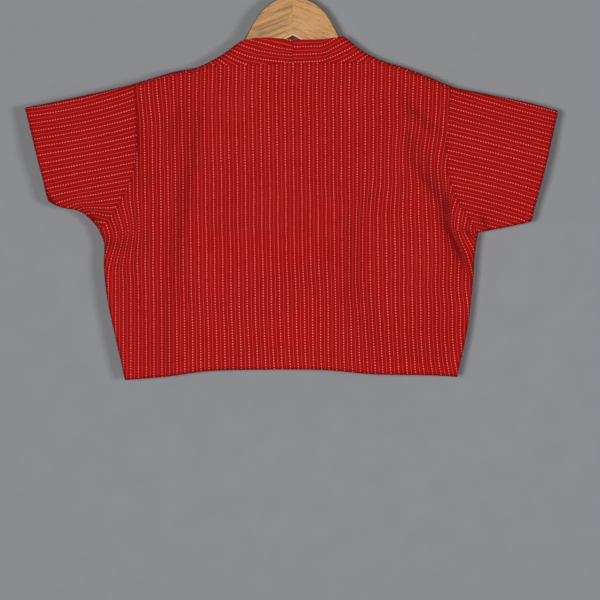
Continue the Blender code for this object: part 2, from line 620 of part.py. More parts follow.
def build_sleeve(name, side):
    """A sleeve: one piece closed into a flat tube along its underside, set into the armhole."""
    back_points, back_normals = sleeve_layer(side, -1)
    front_points, front_normals = sleeve_layer(side, 1)
    back_points[0, :, 1] = back_points[-1, :, 1] = 0.0
    rings = np.concatenate([back_points, front_points[-2:0:-1]])
    normals = np.concatenate([back_normals, front_normals[-2:0:-1]])
    index = np.arange(rings.shape[0] * rings.shape[1]).reshape(rings.shape[:2])
    quads = index_quads(np.vstack([index, index[:1]]))
    quads = quads[:, ::-1] if side.sign < 0 else quads
    return cloth_wall(name, rings.reshape(-1, 3), normals.reshape(-1, 3), quads)


# ---- hanger ------------------------------------------------------------------------------------------------

WOOD_STATIONS = 20  # sections along an arm, an even number
SECTION_STEPS = 4  # steps round each edge of a section
WIRE_SIDES = 10
BORE_SIDES = 16
BORE_ABOVE_WOOD = 10.0  # the cutter stands out of the wood by this much
BORE_DEEPER = 1.0  # the hole is this much deeper than the stem
STEM_STEPS = 4
BEND_STEPS = 5
CROWN_STEPS = 25


def wood_section(x, sign):
    """A closed section of an arm at a distance x from the centre: a slab with rounded edges."""
    top = at_x(smooth_curve(WOOD_TOP_LINE), x)
    bottom = at_x(smooth_curve(WOOD_BOTTOM_LINE), x)
    near_tip = max(0.0, x - (WOOD_HALF_SPAN - WOOD_TIP_LENGTH)) / WOOD_TIP_LENGTH
    middle, half = (top + bottom) / 2, (top - bottom) / 2 * (1 - WOOD_TIP_TAPER * near_tip ** 2)
    growth = float(ease(x, *WOOD_EDGE_CHANGE))
    rounding = min(WOOD_EDGE_FACE + (WOOD_EDGE_ARM - WOOD_EDGE_FACE) * growth, half * 0.98)
    lean = min(rounding, HANGER_HALF)
    points = []
    for corner, (side_y, side_z) in enumerate([(1, 1), (-1, 1), (-1, -1), (1, -1)]):
        for step in range(SECTION_STEPS + 1):
            angle = math.radians(90 * corner + 90 * step / SECTION_STEPS)
            points.append((sign * x,
                           side_y * (HANGER_HALF - lean) + lean * math.cos(angle),
                           middle + side_z * (half - rounding) + rounding * math.sin(angle)))
    return points


def build_arm(name, sign):
    """One half of the hanger: sections lofted from the glued centre joint out to the round tip."""
    crown = WOOD_CROWN_SHARE * np.linspace(0, 1, WOOD_STATIONS // 2, endpoint=False)
    rest = WOOD_CROWN_SHARE + (1 - WOOD_CROWN_SHARE) * np.sin(np.linspace(0, math.pi / 2, WOOD_STATIONS // 2))
    positions = HALF_GAP + (WOOD_HALF_SPAN - HALF_GAP) * np.concatenate([crown, rest])
    rings = [wood_section(x, sign) for x in positions]
    size = len(rings[0])
    points = [point for ring in rings for point in ring]
    faces = []
    for i in range(len(rings) - 1):
        for j in range(size):
            a, b = i * size + j, i * size + (j + 1) % size
            faces.append((a, a + size, b + size, b) if sign > 0 else (a, b, b + size, a + size))
    first = tuple(range(size))
    last = tuple(range((len(rings) - 1) * size, len(rings) * size))
    faces += [first if sign > 0 else first[::-1], last[::-1] if sign > 0 else last]
    arm = add_object(name, points, faces, WOOD)
    bore = arm.modifiers.new("stem_hole", "BOOLEAN")
    bore.operation = "DIFFERENCE"
    bore.object = bpy.data.objects["stem_bore"]
    return arm


def build_bore():
    """Cutter for the hook's hole in the glued joint. It isn't part of the hanger."""
    top, bottom = WOOD_TOP + BORE_ABOVE_WOOD, WOOD_TOP - STEM_IN_WOOD - BORE_DEEPER
    bpy.ops.mesh.primitive_cylinder_add(
        vertices=BORE_SIDES, radius=(WIRE_RADIUS + STEM_CLEARANCE) * MM, depth=(top - bottom) * MM,
        location=(0, 0, ((top + bottom) / 2 + NECK_SEAM_Z) * MM))
    cutter = bpy.context.object
    cutter.name = "stem_bore"
    cutter.hide_render = True
    cutter.display_type = "WIRE"


def build_hook():
    """The wire hook: a straight stem, a bend and a round crown, whose inside is at the model's origin."""
    ring = HOOK_INSIDE + WIRE_RADIUS
    centre = -HOOK_INSIDE
    drop = math.sqrt((ring + HOOK_BEND) ** 2 - HOOK_BEND ** 2)
    bend_z = centre - drop
    meet = math.atan2(-drop, HOOK_BEND)
    stem_end = -HOOK_RISE - STEM_IN_WOOD
    route = [(0.0, z) for z in np.linspace(stem_end, bend_z, STEM_STEPS + 1)]
    for angle in np.linspace(math.pi, meet + math.pi, BEND_STEPS + 1)[1:]:
        route.append((HOOK_BEND + HOOK_BEND * math.cos(angle), bend_z + HOOK_BEND * math.sin(angle)))
    for angle in np.linspace(meet, math.radians(HOOK_END_ANGLE), CROWN_STEPS + 1)[1:]:
        route.append((ring * math.cos(angle), centre + ring * math.sin(angle)))
    route = np.array(route)
    normals = left_normals(route)
    angles = np.linspace(0, 2 * math.pi, WIRE_SIDES, endpoint=False)
    across = WIRE_RADIUS * np.cos(angles)[None, :, None] * normals[:, None]
    points = np.concatenate([route[:, None] + across, np.zeros((len(route), WIRE_SIDES, 1))], axis=2)
    points[:, :, 2] = WIRE_RADIUS * np.sin(angles)
    points = points[:, :, [0, 2, 1]].reshape(-1, 3) - (0, 0, NECK_SEAM_Z)
    faces = [tuple(range(WIRE_SIDES))]
    for i in range(len(route) - 1):
        for j in range(WIRE_SIDES):
            a, b = i * WIRE_SIDES + j, i * WIRE_SIDES + (j + 1) % WIRE_SIDES
            faces.append((a, a + WIRE_SIDES, b + WIRE_SIDES, b))
    faces.append(tuple(range((len(route) - 1) * WIRE_SIDES, len(route) * WIRE_SIDES))[::-1])
    add_object("hook", points, faces, WIRE)


def main():
    for obj in list(bpy.data.objects):
        bpy.data.objects.remove(obj)
    build_back()
    build_front("front_left", LEFT)
    build_front("front_right", RIGHT)
    build_sleeve("sleeve_left", LEFT)
    build_sleeve("sleeve_right", RIGHT)
    build_bore()
    build_arm("hanger_arm_left", -1)
    build_arm("hanger_arm_right", 1)
    build_hook()


main()
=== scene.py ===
"""Looks of the choli blouse on its hanger: striped cotton shells, wood, wire and a plain studio.

Lengths inside the shape functions are in millimetres, in the drawing plane X (right, seen from behind)
and Z (up from the centre of the back neck seam). The back faces -Y and the fronts face +Y.
"""

import math
from collections import namedtuple

import bmesh
import bpy
import numpy as np
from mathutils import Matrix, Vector


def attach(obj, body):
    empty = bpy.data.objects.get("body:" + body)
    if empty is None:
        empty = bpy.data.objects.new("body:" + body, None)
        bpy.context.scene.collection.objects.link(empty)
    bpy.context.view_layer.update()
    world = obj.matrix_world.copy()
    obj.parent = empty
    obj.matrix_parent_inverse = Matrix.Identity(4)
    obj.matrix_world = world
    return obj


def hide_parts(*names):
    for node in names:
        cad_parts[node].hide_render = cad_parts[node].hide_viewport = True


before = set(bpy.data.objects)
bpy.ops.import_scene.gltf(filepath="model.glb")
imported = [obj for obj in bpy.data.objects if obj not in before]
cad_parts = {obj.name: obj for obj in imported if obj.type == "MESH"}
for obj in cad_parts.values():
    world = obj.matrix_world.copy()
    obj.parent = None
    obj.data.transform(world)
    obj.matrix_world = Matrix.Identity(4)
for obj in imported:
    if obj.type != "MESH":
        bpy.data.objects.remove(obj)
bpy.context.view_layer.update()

bl_info = {
    "name": "Choli blouse on a hanger",
    "version": (1, 0, 0),
    "blender": (4, 5, 0),
    "location": "View3D > Sidebar > Choli",
    "description": "Makes the cotton, stitching, wood and wire of a hung choli blouse, and its studio",
    "category": "Add Mesh",
}

MM = 0.001
HALF_GAP = 0.15  # half the gap between two pieces that are sewn together
ARM_GAP = 0.05  # from the centre to either half of the hanger, where they are glued

Point = namedtuple("Point", "x z")
Fold = namedtuple("Fold", "x0 z0 x1 z1 width depth")
Lean = namedtuple("Lean", "x0 z0 x1 z1 width step pull")
Side = namedtuple("Side", "sign ridge side sleeve_bottom armhole cuff")
Wave = namedtuple("Wave", "height length direction start")
Seam = namedtuple("Seam", "line ridge dip")  # ridge and dip are shares of the whole ones
Block = namedtuple("Block", "index uv edge")

# ---- outline of the hung blouse ------------------------------------------------------------------------

TIP_X = 193.5  # the armhole seam crosses the shoulder fold this far from the centre
NECK_LEFT = Point(-66.5, 26.4)  # where the collar turns over the shoulder
NECK_RIGHT = Point(64.0, 33.4)
TIP_LEFT = Point(-TIP_X, -23.7)  # where the armhole seam crosses the shoulder fold
TIP_RIGHT = Point(TIP_X, -26.9)
UNDERARM_LEFT = Point(-237.5, -201.0)
UNDERARM_RIGHT = Point(226.5, -206.0)
HEM_LEFT = Point(-204.8, -385.5)
HEM_RIGHT = Point(201.0, -381.5)
CUFF_TOP_LEFT = Point(-326.4, -53.1)
CUFF_TOP_RIGHT = Point(323.5, -57.0)
CUFF_BOTTOM_LEFT = Point(-298.3, -167.6)
CUFF_BOTTOM_RIGHT = Point(290.8, -192.4)

LEFT = Side(
    sign=-1,
    ridge=[NECK_LEFT, Point(-89.7, 9.8), Point(-116.5, -3.8), Point(-148.0, -10.2), TIP_LEFT,
           Point(-262.0, -39.5), CUFF_TOP_LEFT],
    side=[UNDERARM_LEFT, Point(-230.5, -219.0), Point(-231.0, -242.0), Point(-227.9, -280.0),
          Point(-217.3, -332.0), HEM_LEFT],
    sleeve_bottom=[CUFF_BOTTOM_LEFT, Point(-283.0, -175.0), Point(-262.0, -179.3), Point(-249.0, -188.0),
                   UNDERARM_LEFT],
    armhole=[UNDERARM_LEFT, Point(-225.0, -190.3), Point(-209.7, -166.7), Point(-195.5, -137.0),
             Point(-190.0, -112.0), Point(-190.2, -75.0), TIP_LEFT],
    cuff=[CUFF_BOTTOM_LEFT, Point(-312.3, -108.0), CUFF_TOP_LEFT],
)
RIGHT = Side(
    sign=1,
    ridge=[NECK_RIGHT, Point(88.5, 14.6), Point(109.0, 4.3), Point(139.7, -5.3), Point(172.0, -17.8),
           TIP_RIGHT, Point(252.0, -39.1), Point(296.0, -48.6), CUFF_TOP_RIGHT],
    side=[UNDERARM_RIGHT, Point(223.2, -227.0), Point(220.8, -260.0), Point(213.9, -322.0), HEM_RIGHT],
    sleeve_bottom=[CUFF_BOTTOM_RIGHT, Point(262.0, -199.0), Point(239.0, -203.4), UNDERARM_RIGHT],
    armhole=[UNDERARM_RIGHT, Point(213.0, -185.0), Point(197.0, -159.0), Point(190.3, -135.0),
             Point(187.4, -104.0), Point(189.0, -72.0), TIP_RIGHT],
    cuff=[CUFF_BOTTOM_RIGHT, Point(309.7, -116.0), CUFF_TOP_RIGHT],
)
SIDES = {"left": LEFT, "right": RIGHT}

BACK_HEM = [HEM_LEFT, Point(-155.0, -380.9), Point(-107.0, -374.3), Point(-46.0, -372.2),
            Point(40.0, -372.7), Point(95.0, -377.6), Point(168.0, -379.2), HEM_RIGHT]
FRONT_HEM_LIFT = 1.5  # the front hem hangs this much higher than the back one
COLLAR_EDGE = [NECK_LEFT, Point(-50.0, 29.9), Point(-31.0, 30.9), Point(-12.0, 29.1), Point(8.0, 28.3),
               Point(30.0, 28.5), Point(42.0, 29.6), NECK_RIGHT]
NECK_SEAM_TILT = 0.022  # rise of the straight back neck seam for each millimetre to the right
SHOULDER_SEAM_DROP = 3.7  # the shoulder seam lies this far down the back from the fold
SEAM_CORNER = 2.0  # rounding where the neck seam runs into the shoulder seam
SEAM_END = 22.0  # over this length before the armhole the seam bends to meet it
FRONT_LAP = 10.0  # each front reaches this far past the centre
LAP_CLEARANCE = 0.5  # between the two layers of the lap
LAP_SINKS_ACROSS = (-46.0, -15.0)  # the under layer sinks between these distances from the centre
LAP_SINKS_UP = (-112.0, -80.0)  # and rises again between these heights
CENTRE_SEAM = [Point(0.0, 60.0), Point(0.0, -20.0)]  # the collar's seam at the centre back
V_BOTTOM = -150.0  # where the neckline turns into the front edge
NECKLINE = [Point(56.0, 0.0), Point(33.0, -60.0), Point(5.0, -120.0), Point(-FRONT_LAP, V_BOTTOM)]
FRONT_ARMHOLE_SCOOP = 7.0  # the front armhole is cut this much further in

# ---- how far the cloth stands off the drawing plane ----------------------------------------------------

HANGER_HALF = 6.0  # half the hanger's thickness
HANGER_CLEARANCE = 0.9
WALL = 1.5  # the solids' cloth wall
SHOULDER_ROLL = HANGER_HALF + HANGER_CLEARANCE + WALL  # radius of the fold over the hanger
SIDE_ROLL = 5.0  # radius of the fold at the side seams and under the sleeves
SLEEVE_TOP_ROLL = 5.0  # radius of the sleeve's upper fold, past the hanger
ROLL_EASE = 55.0  # distance over which the depth grows past a fold
BASE_DEPTH = 10.8  # each layer's distance from the plane across the hanger
BACK_FULLNESS = 7.5  # what the back gains by the hem
FRONT_FULLNESS = 8.5
FULLNESS_TOP = -20.0  # the cloth starts to gain depth at this height
FULLNESS_BOTTOM = -330.0  # and has it all here
FLAT_SIDES = 0.45  # share of the gain that is lost towards the side seams
FLAT_SIDES_FROM = 120.0
FLAT_SIDES_TO = 205.0
LEAST_DEPTH = 4.8  # no fold sinks below this
OVER_HANGER_DEPTH = SHOULDER_ROLL + 0.4  # nor below this, over the hanger
HANGER_CALM = 0.6  # share of the small creases' depth that the hanger takes away
HANGER_BELOW_FOLD = 46.0  # the hanger reaches this far below the shoulder fold
HANGER_FADE = 24.0  # and its hold on the depth fades out over this much more
PAST_TIP_FROM = 6.0  # distances past the hanger's tip between which its hold fades out sideways
PAST_TIP_TO = 60.0

BACK_FOLDS = [  # centre line from (x0, z0) to (x1, z1); width is the bell's half width; depth < 0 sinks
    Fold(-120, -42, -147, -239, 11, -3.4),
    Fold(-147, -239, -157, -390, 12, -2.6),
    Fold(-136, -46, -154, -98, 8, -2.0),
    Fold(-186, -52, -187, -140, 7, -1.6),
    Fold(-192, -152, -158, -128, 9, -1.8),
    Fold(-214, -180, -196, -206, 13, 2.6),
    Fold(-228, -224, -190, -216, 8, -2.6),
    Fold(134, -50, 170, -80, 9, -2.4),
    Fold(141, -88, 184, -158, 10, -3.4),
    Fold(183, -176, 214, -252, 10, -5.0),
    Fold(203, -178, 218, -208, 9, 1.6),
    Fold(76, -178, 73, -288, 13, -2.8),
    Fold(73, -288, 112, -345, 13, -2.6),
    Fold(-100, -232, -108, -290, 18, 1.8),
    Fold(24, -290, 2, -352, 30, 2.2),
    Fold(-40, -120, -34, -230, 26, 1.2),
]
FRONT_FOLDS = [
    Fold(-112, -70, -142, -255, 13, -3.2),
    Fold(-142, -255, -150, -390, 13, -2.6),
    Fold(118, -70, 138, -240, 13, -3.0),
    Fold(138, -240, 128, -390, 14, -2.6),
    Fold(-60, -150, -84, -390, 18, 2.4),
    Fold(56, -150, 72, -390, 20, 2.6),
    Fold(-226, -222, -188, -206, 9, -2.6),
    Fold(214, -222, 178, -198, 9, -2.8),
    Fold(-182, -60, -176, -150, 9, -1.8),
    Fold(180, -60, 174, -150, 9, -1.8),
]
FOLDS = {-1: BACK_FOLDS, 1: FRONT_FOLDS}  # by the way that the cloth faces
FOLD_END = 26.0  # a fold fades out over this much past its ends
SHARP_END = 4.0  # or over this many of its widths, if that is less

# ---- hanger and hook -----------------------------------------------------------------------------------

WOOD_TOP = 84.0  # height of the wood's crown above the back neck seam
WOOD_HALF_SPAN = 214.0
WOOD_TOP_LINE = [Point(0.0, WOOD_TOP), Point(10.0, 82.5), Point(21.3, 78.0), Point(34.8, 68.3),
                 Point(42.7, 58.6), Point(48.8, 48.8), Point(54.3, 39.0), Point(59.6, 30.0),
                 Point(63.0, 22.0), Point(73.0, 13.0), Point(90.0, 4.2), Point(107.0, -4.6),
                 Point(130.0, -10.8), Point(160.0, -19.0), Point(193.0, -32.0),
                 Point(WOOD_HALF_SPAN, -39.0)]
WOOD_BOTTOM_LINE = [Point(0.0, 35.0), Point(9.2, 29.8), Point(30.0, 17.5), Point(60.0, 0.0),
                    Point(107.0, -27.5), Point(160.0, -44.0), Point(WOOD_HALF_SPAN, -56.0)]
WOOD_EDGE_FACE = 2.5  # rounding of the wood's edges at the crown, where it shows
WOOD_EDGE_ARM = 6.0  # and along the arms, under the cloth
WOOD_EDGE_CHANGE = (44.0, 64.0)  # distances from the centre between which the rounding grows
WOOD_TIP_LENGTH = 12.0  # the arm tapers over this length at its tip
WOOD_TIP_TAPER = 0.55  # share of its height lost there
WOOD_CROWN_SHARE = 0.36  # share of an arm's length that makes up the crown
WOOD_CROWN_SECTIONS = 0.55  # and the share of its sections that lie there
WOOD_ROUND_MOST = 0.98  # the rounding is at most this share of half the arm's height
WIRE_RADIUS = 1.75
WIRE_END_ROUND = 1.6  # the wire's open end is rounded over this length
HOOK_INSIDE = 18.0  # inner radius of the hook
HOOK_BEND = 10.0  # radius of the bend from the stem into the hook
HOOK_RISE = 58.0  # from the wood's crown to the inside of the hook's crown
STEM_IN_WOOD = 23.0  # depth of the stem below the wood's crown
HOOK_END_ANGLE = 212.0  # where the hook's open end stops, in degrees round its centre

NECK_SEAM_Z = -(WOOD_TOP + HOOK_RISE)  # the drawing plane's zero, below the model's origin

CURVE_SAMPLES = 24
SEAM_SAMPLES = 240  # for either half of the back's top seam
TINY = 1e-12  # keeps a division by a length of nothing safe


def smooth_curve(stations):
    """A Catmull-Rom curve through the stations, its knots apart by the root of each chord's length."""
    points = np.array([(p[0], p[1]) for p in stations], float)
    first = 2 * points[0] - points[1]
    last = 2 * points[-1] - points[-2]
    points = np.vstack([first, points, last])
    knots = np.concatenate([[0], np.cumsum(np.sqrt(np.linalg.norm(np.diff(points, axis=0), axis=1)))])
    pieces = []
    for i in range(1, len(points) - 2):
        t0, t1, t2, t3 = knots[i - 1:i + 3]
        t = np.linspace(t1, t2, CURVE_SAMPLES, endpoint=False)[:, None]
        a1 = (t1 - t) / (t1 - t0) * points[i - 1] + (t - t0) / (t1 - t0) * points[i]
        a2 = (t2 - t) / (t2 - t1) * points[i] + (t - t1) / (t2 - t1) * points[i + 1]
        a3 = (t3 - t) / (t3 - t2) * points[i + 1] + (t - t2) / (t3 - t2) * points[i + 2]
        b1 = (t2 - t) / (t2 - t0) * a1 + (t - t0) / (t2 - t0) * a2
        b2 = (t3 - t) / (t3 - t1) * a2 + (t - t1) / (t3 - t1) * a3
        pieces.append((t2 - t) / (t2 - t1) * b1 + (t - t1) / (t2 - t1) * b2)
    return np.vstack(pieces + [points[-2:-1]])


def lengths_along(line):
    """Distance of each point of a polyline from its start."""
    return np.concatenate([[0], np.cumsum(np.linalg.norm(np.diff(line, axis=0), axis=1))])


def at_share(line, share):
    """Points of a polyline at the given shares of its length."""
    along = lengths_along(line)
    where = np.asarray(share, float) * along[-1]
    return np.stack([np.interp(where, along, line[:, k]) for k in range(2)], axis=1)


def at_x(line, x):
    """Height of a curve that runs along X."""
    order = np.argsort(line[:, 0])
    return np.interp(x, line[order, 0], line[order, 1])


def left_normals(line):
    """Unit normals to the left of a polyline's direction, averaged at its points."""
    step = unit(np.diff(line, axis=0))
    step = np.vstack([step[:1], (step[:-1] + step[1:]) / 2, step[-1:]])
    return unit(np.stack([-step[:, 1], step[:, 0]], axis=1))


def unit(vectors):
    """Vectors brought to length 1, one a row."""
    return vectors / np.maximum(np.linalg.norm(vectors, axis=-1), TINY)[..., None]


def ease(value, low, high):
    """A smooth step from 0 at low to 1 at high."""
    t = np.clip((np.asarray(value, float) - low) / (high - low), 0, 1)
    return t * t * (3 - 2 * t)


def smooth_max(a, b, rounding=0.7):
    """The larger of two values, rounded where they cross."""
    return (a + b + np.sqrt((a - b) ** 2 + rounding ** 2)) / 2


# ---- folded edges of the outline, each run so that the cloth lies on its left --------------------------

EDGE_REACH = 14.0  # the folded edges run on by this much past the openings
ON_LINE = 0.05  # a point this near an edge takes its direction from the edge


def beyond(line):
    """A point straight on from the end of a polyline."""
    last = line[-1] - line[-2]
    return line[-1] + last / np.linalg.norm(last) * EDGE_REACH


def ridge_edge(side):
    """The shoulder and the sleeve's upper fold, from the cuff to the neck and on up beside the collar."""
    line = smooth_curve(side.ridge)[::-1]
    line = np.vstack([beyond(line[::-1]), line, line[-1] + (0, EDGE_REACH)])
    return line[::-1] if side.sign < 0 else line


def lower_edge(side):
    """The sleeve's lower fold and the side seam, from the cuff to the hem."""
    line = np.vstack([smooth_curve(side.sleeve_bottom)[:-1], smooth_curve(side.side)])
    line = np.vstack([beyond(line[::-1]), line, beyond(line)])
    return line if side.sign < 0 else line[::-1]


RIDGES = [ridge_edge(LEFT), ridge_edge(RIGHT)]
LOWER_EDGES = [lower_edge(LEFT), lower_edge(RIGHT)]

# ---- the lines of the weave ----------------------------------------------------------------------------

REPEAT = 9.845  # from one dotted line of the weave to the next
FIRST_LINE = 2.43  # the dotted lines' place on the back, to the right of its centre
# drift of the back's lines, in powers of the units down and to the side: 1, d, dd, s, sd, sdd, ss, sss
BODY_DRIFT = (2.9, 0.3, 0.5, -0.3, -1.6, 0.55, 0.4, -0.25)
DRIFT_UNIT = 100.0
BODY_LEANS = [  # the cloth is drawn aside along each fold: past it by a step, and on it by a pull
    Lean(-120, -10, -150, -230, 13, -1.5, 0.5),
    Lean(-155, -240, -155, -400, 15, -1.0, 0.5),
    Lean(-150, -30, -165, -110, 12, -1.0, 1.5),
    Lean(-145, -50, -150, 30, 20, -3.0, 0.0),
    Lean(-222, -192, -214, -232, 43, -0.5, 13.5),
    Lean(-175, -190, -205, -240, 17, -1.0, -5.5),
    Lean(-160, -130, -160, -195, 12, -0.5, 0.5),
    Lean(140, -40, 175, -80, 10, -0.5, -0.5),
    Lean(145, -90, 200, -165, 35, -2.0, -4.5),
    Lean(160, -115, 168, -150, 20, -5.0, 1.0),
    Lean(187.5, -158, 189.5, -208, 3, -17.0, 3.5),
    Lean(190, -200, 208, -246, 3, -12.5, 5.0),
    Lean(206, -203, 240, -207, 9, 0.0, -5.0),
    Lean(85, -160, 70, -280, 13, -6.5, 0.0),
    Lean(80, -290, 108, -400, 15, -4.0, 0.0),
    Lean(50, -260, 15, -380, 37, -4.5, 1.5),
    Lean(115, -185, 128, -310, 24, 3.5, 0.0),
    Lean(-60, -50, -65, -185, 45, 2.0, 0.0),
]
FRONT_LINES_SPREAD = 0.02  # the fronts' lines run outwards by this for each millimetre down
# numbers of the lines as a polynomial of two scaled distances: 1, a, b, aa, ab, bb, aaa, aab, abb, bbb
SLEEVE_UNIT = 50.0  # both distances are counted in it
SLEEVE_MIDDLE = Point(250.0, -110.0)  # where both distances are nothing, on either sleeve
SLEEVE_RUN = Point(0.98, -0.2)  # the way along a sleeve's lines, out to the cuff
SLEEVE_LINES = {
    "left": (20.85, -0.95, -4.85, 0.05, -0.05, 0.05, 0.0, 0.1, -0.15, -0.1),
    "right": (1.95, -1.25, -4.85, -0.05, 0.0, 0.0, 0.0, 0.05, -0.1, -0.05),
}
SLEEVE_LEANS = [  # the left sleeve's underside is drawn up into a pucker, and down beside the seam
    Lean(-262, -176, -236, -190, 11, 0.0, 9.0),
    Lean(-214, -178, -236, -202, 11, 0.0, -4.2),
]
COLLAR_UNITS = Point(50.0, 20.0)
COLLAR_MIDDLE = 2.4  # the collar's lines part here
COLLAR_RUN = Point(-0.95, -0.3)  # the way along the collar's lines, in to the centre
COLLAR_LINES = {
    "left": (2.05, 0.55, -2.2, -0.25, 0.25, 0.0, 0.35, 0.0, 0.0, 0.0),
    "right": (2.2, -0.4, -2.2, 1.25, 0.3, 0.0, -0.1, 0.0, 0.0, 0.0),
}
COLLAR_LEANS = {  # where the collar sags beside its centre seam, and before it turns up over the shoulder
    "left": [Lean(-26, 19, 26, 18, 6, 0.0, -3.3)],
    "right": [Lean(36, 40, 36, 12, 11, 0.0, -4.0)],
}


def polynomial(terms, a, b):
    """Sum of the terms times 1, a, b, aa, ab, bb, aaa, aab, abb, bbb."""
    powers = (1, a, b, a * a, a * b, b * b, a ** 3, a * a * b, a * b * b, b ** 3)
    return sum(term * power for term, power in zip(terms, powers))


def fold_frame(fold, x, z, end=FOLD_END):
    """Distance across a fold's centre line, and its fade within an end's length of both its ends."""
    start = np.array([fold.x0, fold.z0], float)
    along = np.array([fold.x1, fold.z1], float) - start
    length = np.linalg.norm(along)
    along = along / length
    run = (x - start[0]) * along[0] + (z - start[1]) * along[1]
    across = (z - start[1]) * along[0] - (x - start[0]) * along[1]
    return across, ease(run, -end, end) * (1 - ease(run, length - end, length + end))


def drawn_aside(leans, x, z):
    """How far the folds draw the cloth aside: a step past each fold, and a bell on it."""
    total = np.zeros_like(x)
    for lean in leans:
        across, fade = fold_frame(lean, x, z)
        reach = across / lean.width
        total = total + fade * (lean.step * (1 + np.tanh(reach)) / 2 + lean.pull * np.exp(-reach ** 2))
    return total


def back_lines(plane):
    """Place on the back's flat cloth: x less an even drift, and less what its folds draw aside."""
    x, z = plane[..., 0], plane[..., 1]
    down, side = -z / DRIFT_UNIT, x / DRIFT_UNIT
    powers = (1, down, down ** 2, side, side * down, side * down ** 2, side ** 2, side ** 3)
    drift = sum(share * power for share, power in zip(BODY_DRIFT, powers))
    return np.stack([x - drift - drawn_aside(BODY_LEANS, x, z) + FIRST_LINE, -z], axis=-1)


def front_lines(side, plane):
    """Place on a front's flat cloth: down and a little outwards, mirrored from one front to the other."""
    x, z = plane[..., 0], plane[..., 1]
    return np.stack([side.sign * x + FIRST_LINE + FRONT_LINES_SPREAD * z, -z], axis=-1)


def collar_lines(side_name, plane):
    """Place on the cloth behind the shoulder fold: its lines run down and in, flatter by the centre."""
    x, z = plane[..., 0], plane[..., 1]
    out = np.abs(x - COLLAR_MIDDLE) / COLLAR_UNITS.x
    number = polynomial(COLLAR_LINES[side_name], out, z / COLLAR_UNITS.z)
    number = number + drawn_aside(COLLAR_LEANS[side_name], x, z) / REPEAT
    run = COLLAR_RUN.x * (np.abs(x) - NECK_RIGHT.x) + COLLAR_RUN.z * z
    return np.stack([number * REPEAT, run], axis=-1)


def sleeve_lines(side_name, face, plane):
    """Place on a sleeve's flat cloth: along its upper fold, and counted on round the fold to the front."""
    x, z = plane[..., 0], plane[..., 1]
    terms = SLEEVE_LINES[side_name]
    out, up = (np.abs(x) - SLEEVE_MIDDLE.x) / SLEEVE_UNIT, (z - SLEEVE_MIDDLE.z) / SLEEVE_UNIT
    number = polynomial(terms, out, up) + drawn_aside(SLEEVE_LEANS, x, z) / REPEAT
    if face > 0:
        fold_up = (at_x(RIDGES[0], -SLEEVE_MIDDLE.x) - SLEEVE_MIDDLE.z) / SLEEVE_UNIT
        number = 2 * polynomial(terms, 0.0, fold_up) - number
    return np.stack([number * REPEAT, SLEEVE_RUN.x * np.abs(x) + SLEEVE_RUN.z * z], axis=-1)


# ---- the cloth's form ----------------------------------------------------------------------------------

SMALL_BACK = [  # creases too small for the solids
    Fold(-200, -170, -176, -226, 5, -0.9),
    Fold(-226, -186, -206, -214, 4, -1.0),
    Fold(-232, -206, -214, -232, 4, -1.1),
    Fold(-222, -216, -226, -226, 3.5, -3.0),
    Fold(-222, -240, -196, -250, 6, -0.8),
    Fold(-134, -46, -150, -104, 5.5, -1.6),
    Fold(-115, -60, -130, -150, 6, -1.8),
    Fold(-128, -140, -146, -230, 6.5, -1.5),
    Fold(-145, -225, -160, -345, 8, -1.1),
    Fold(-190, -50, -189, -142, 3.5, -1.0),
    Fold(-228, -212, -204, -226, 5, -2.0),
    Fold(-108, -222, -98, -275, 10, 1.4),
    Fold(132, -30, 142, -52, 5, -1.6),
    Fold(139, -50, 177, -84, 4.5, -2.4),
    Fold(141, -84, 147, -120, 6, -1.6),
    Fold(147, -116, 186, -172, 6, -2.8),
    Fold(186, -160, 188, -196, 4.5, -3.4),
    Fold(188, -197, 205, -238, 4.5, -4.2),
    Fold(205, -234, 216, -262, 7, -2.4),
    Fold(73, -190, 73, -272, 9, -0.6),
    Fold(74, -270, 114, -340, 9, -0.7),
    Fold(165, -138, 188, -172, 8, -1.8),
    Fold(-5, -306, 45, -330, 16, 1.2),
    Fold(197, -172, 205, -212, 6, 1.8),
    Fold(206, -200, 224, -214, 3.4, -5.0),
    Fold(208, -208, 220, -228, 4, 1.4),
    Fold(214, -186, 222, -204, 3.5, -1.2),
    Fold(-30, -31, 33, -30, 3.0, -0.55),
    Fold(20, -33, 28, -26, 5, -0.5),
    Fold(-150, -300, -140, -366, 8, 0.6),
    Fold(60, -320, 58, -372, 8, 0.6),
    Fold(96, -330, 100, -376, 7, -0.6),
    Fold(-70, -336, -74, -372, 9, -0.5),
    Fold(-8, -300, -14, -372, 10, 0.5),
    Fold(150, -300, 146, -376, 9, -0.5),
]
SMALL_FRONT = [
    Fold(-108, -60, -134, -170, 6, -2.0),
    Fold(-134, -170, -146, -300, 7, -1.6),
    Fold(114, -62, 132, -180, 6, -2.0),
    Fold(132, -180, 129, -320, 7, -1.5),
    Fold(-178, -56, -174, -140, 4, -1.4),
    Fold(178, -56, 173, -140, 4, -1.4),
    Fold(-214, -206, -188, -234, 5, -2.2),
    Fold(208, -206, 186, -238, 5, -2.4),
    Fold(-24, -158, -86, -216, 5, -1.3),
    Fold(30, -158, 92, -210, 5, -1.3),
    Fold(-84, -300, -90, -368, 8, -0.9),
    Fold(84, -292, 92, -366, 8, -0.9),
    Fold(-206, -176, -182, -230, 5, -0.9),
    Fold(-230, -190, -206, -214, 4, -1.0),
    Fold(200, -186, 182, -226, 5, -0.9),
    Fold(222, -192, 204, -216, 4, -1.0),
    Fold(-40, -152, -96, -214, 7, -0.8),
    Fold(44, -152, 96, -206, 7, -0.8),
    Fold(-26, -250, -60, -330, 8, -0.6),
    Fold(30, -240, 52, -330, 8, 0.6),
    Fold(-120, -320, -118, -372, 9, 0.6),
    Fold(110, -310, 114, -374, 9, 0.6),
]
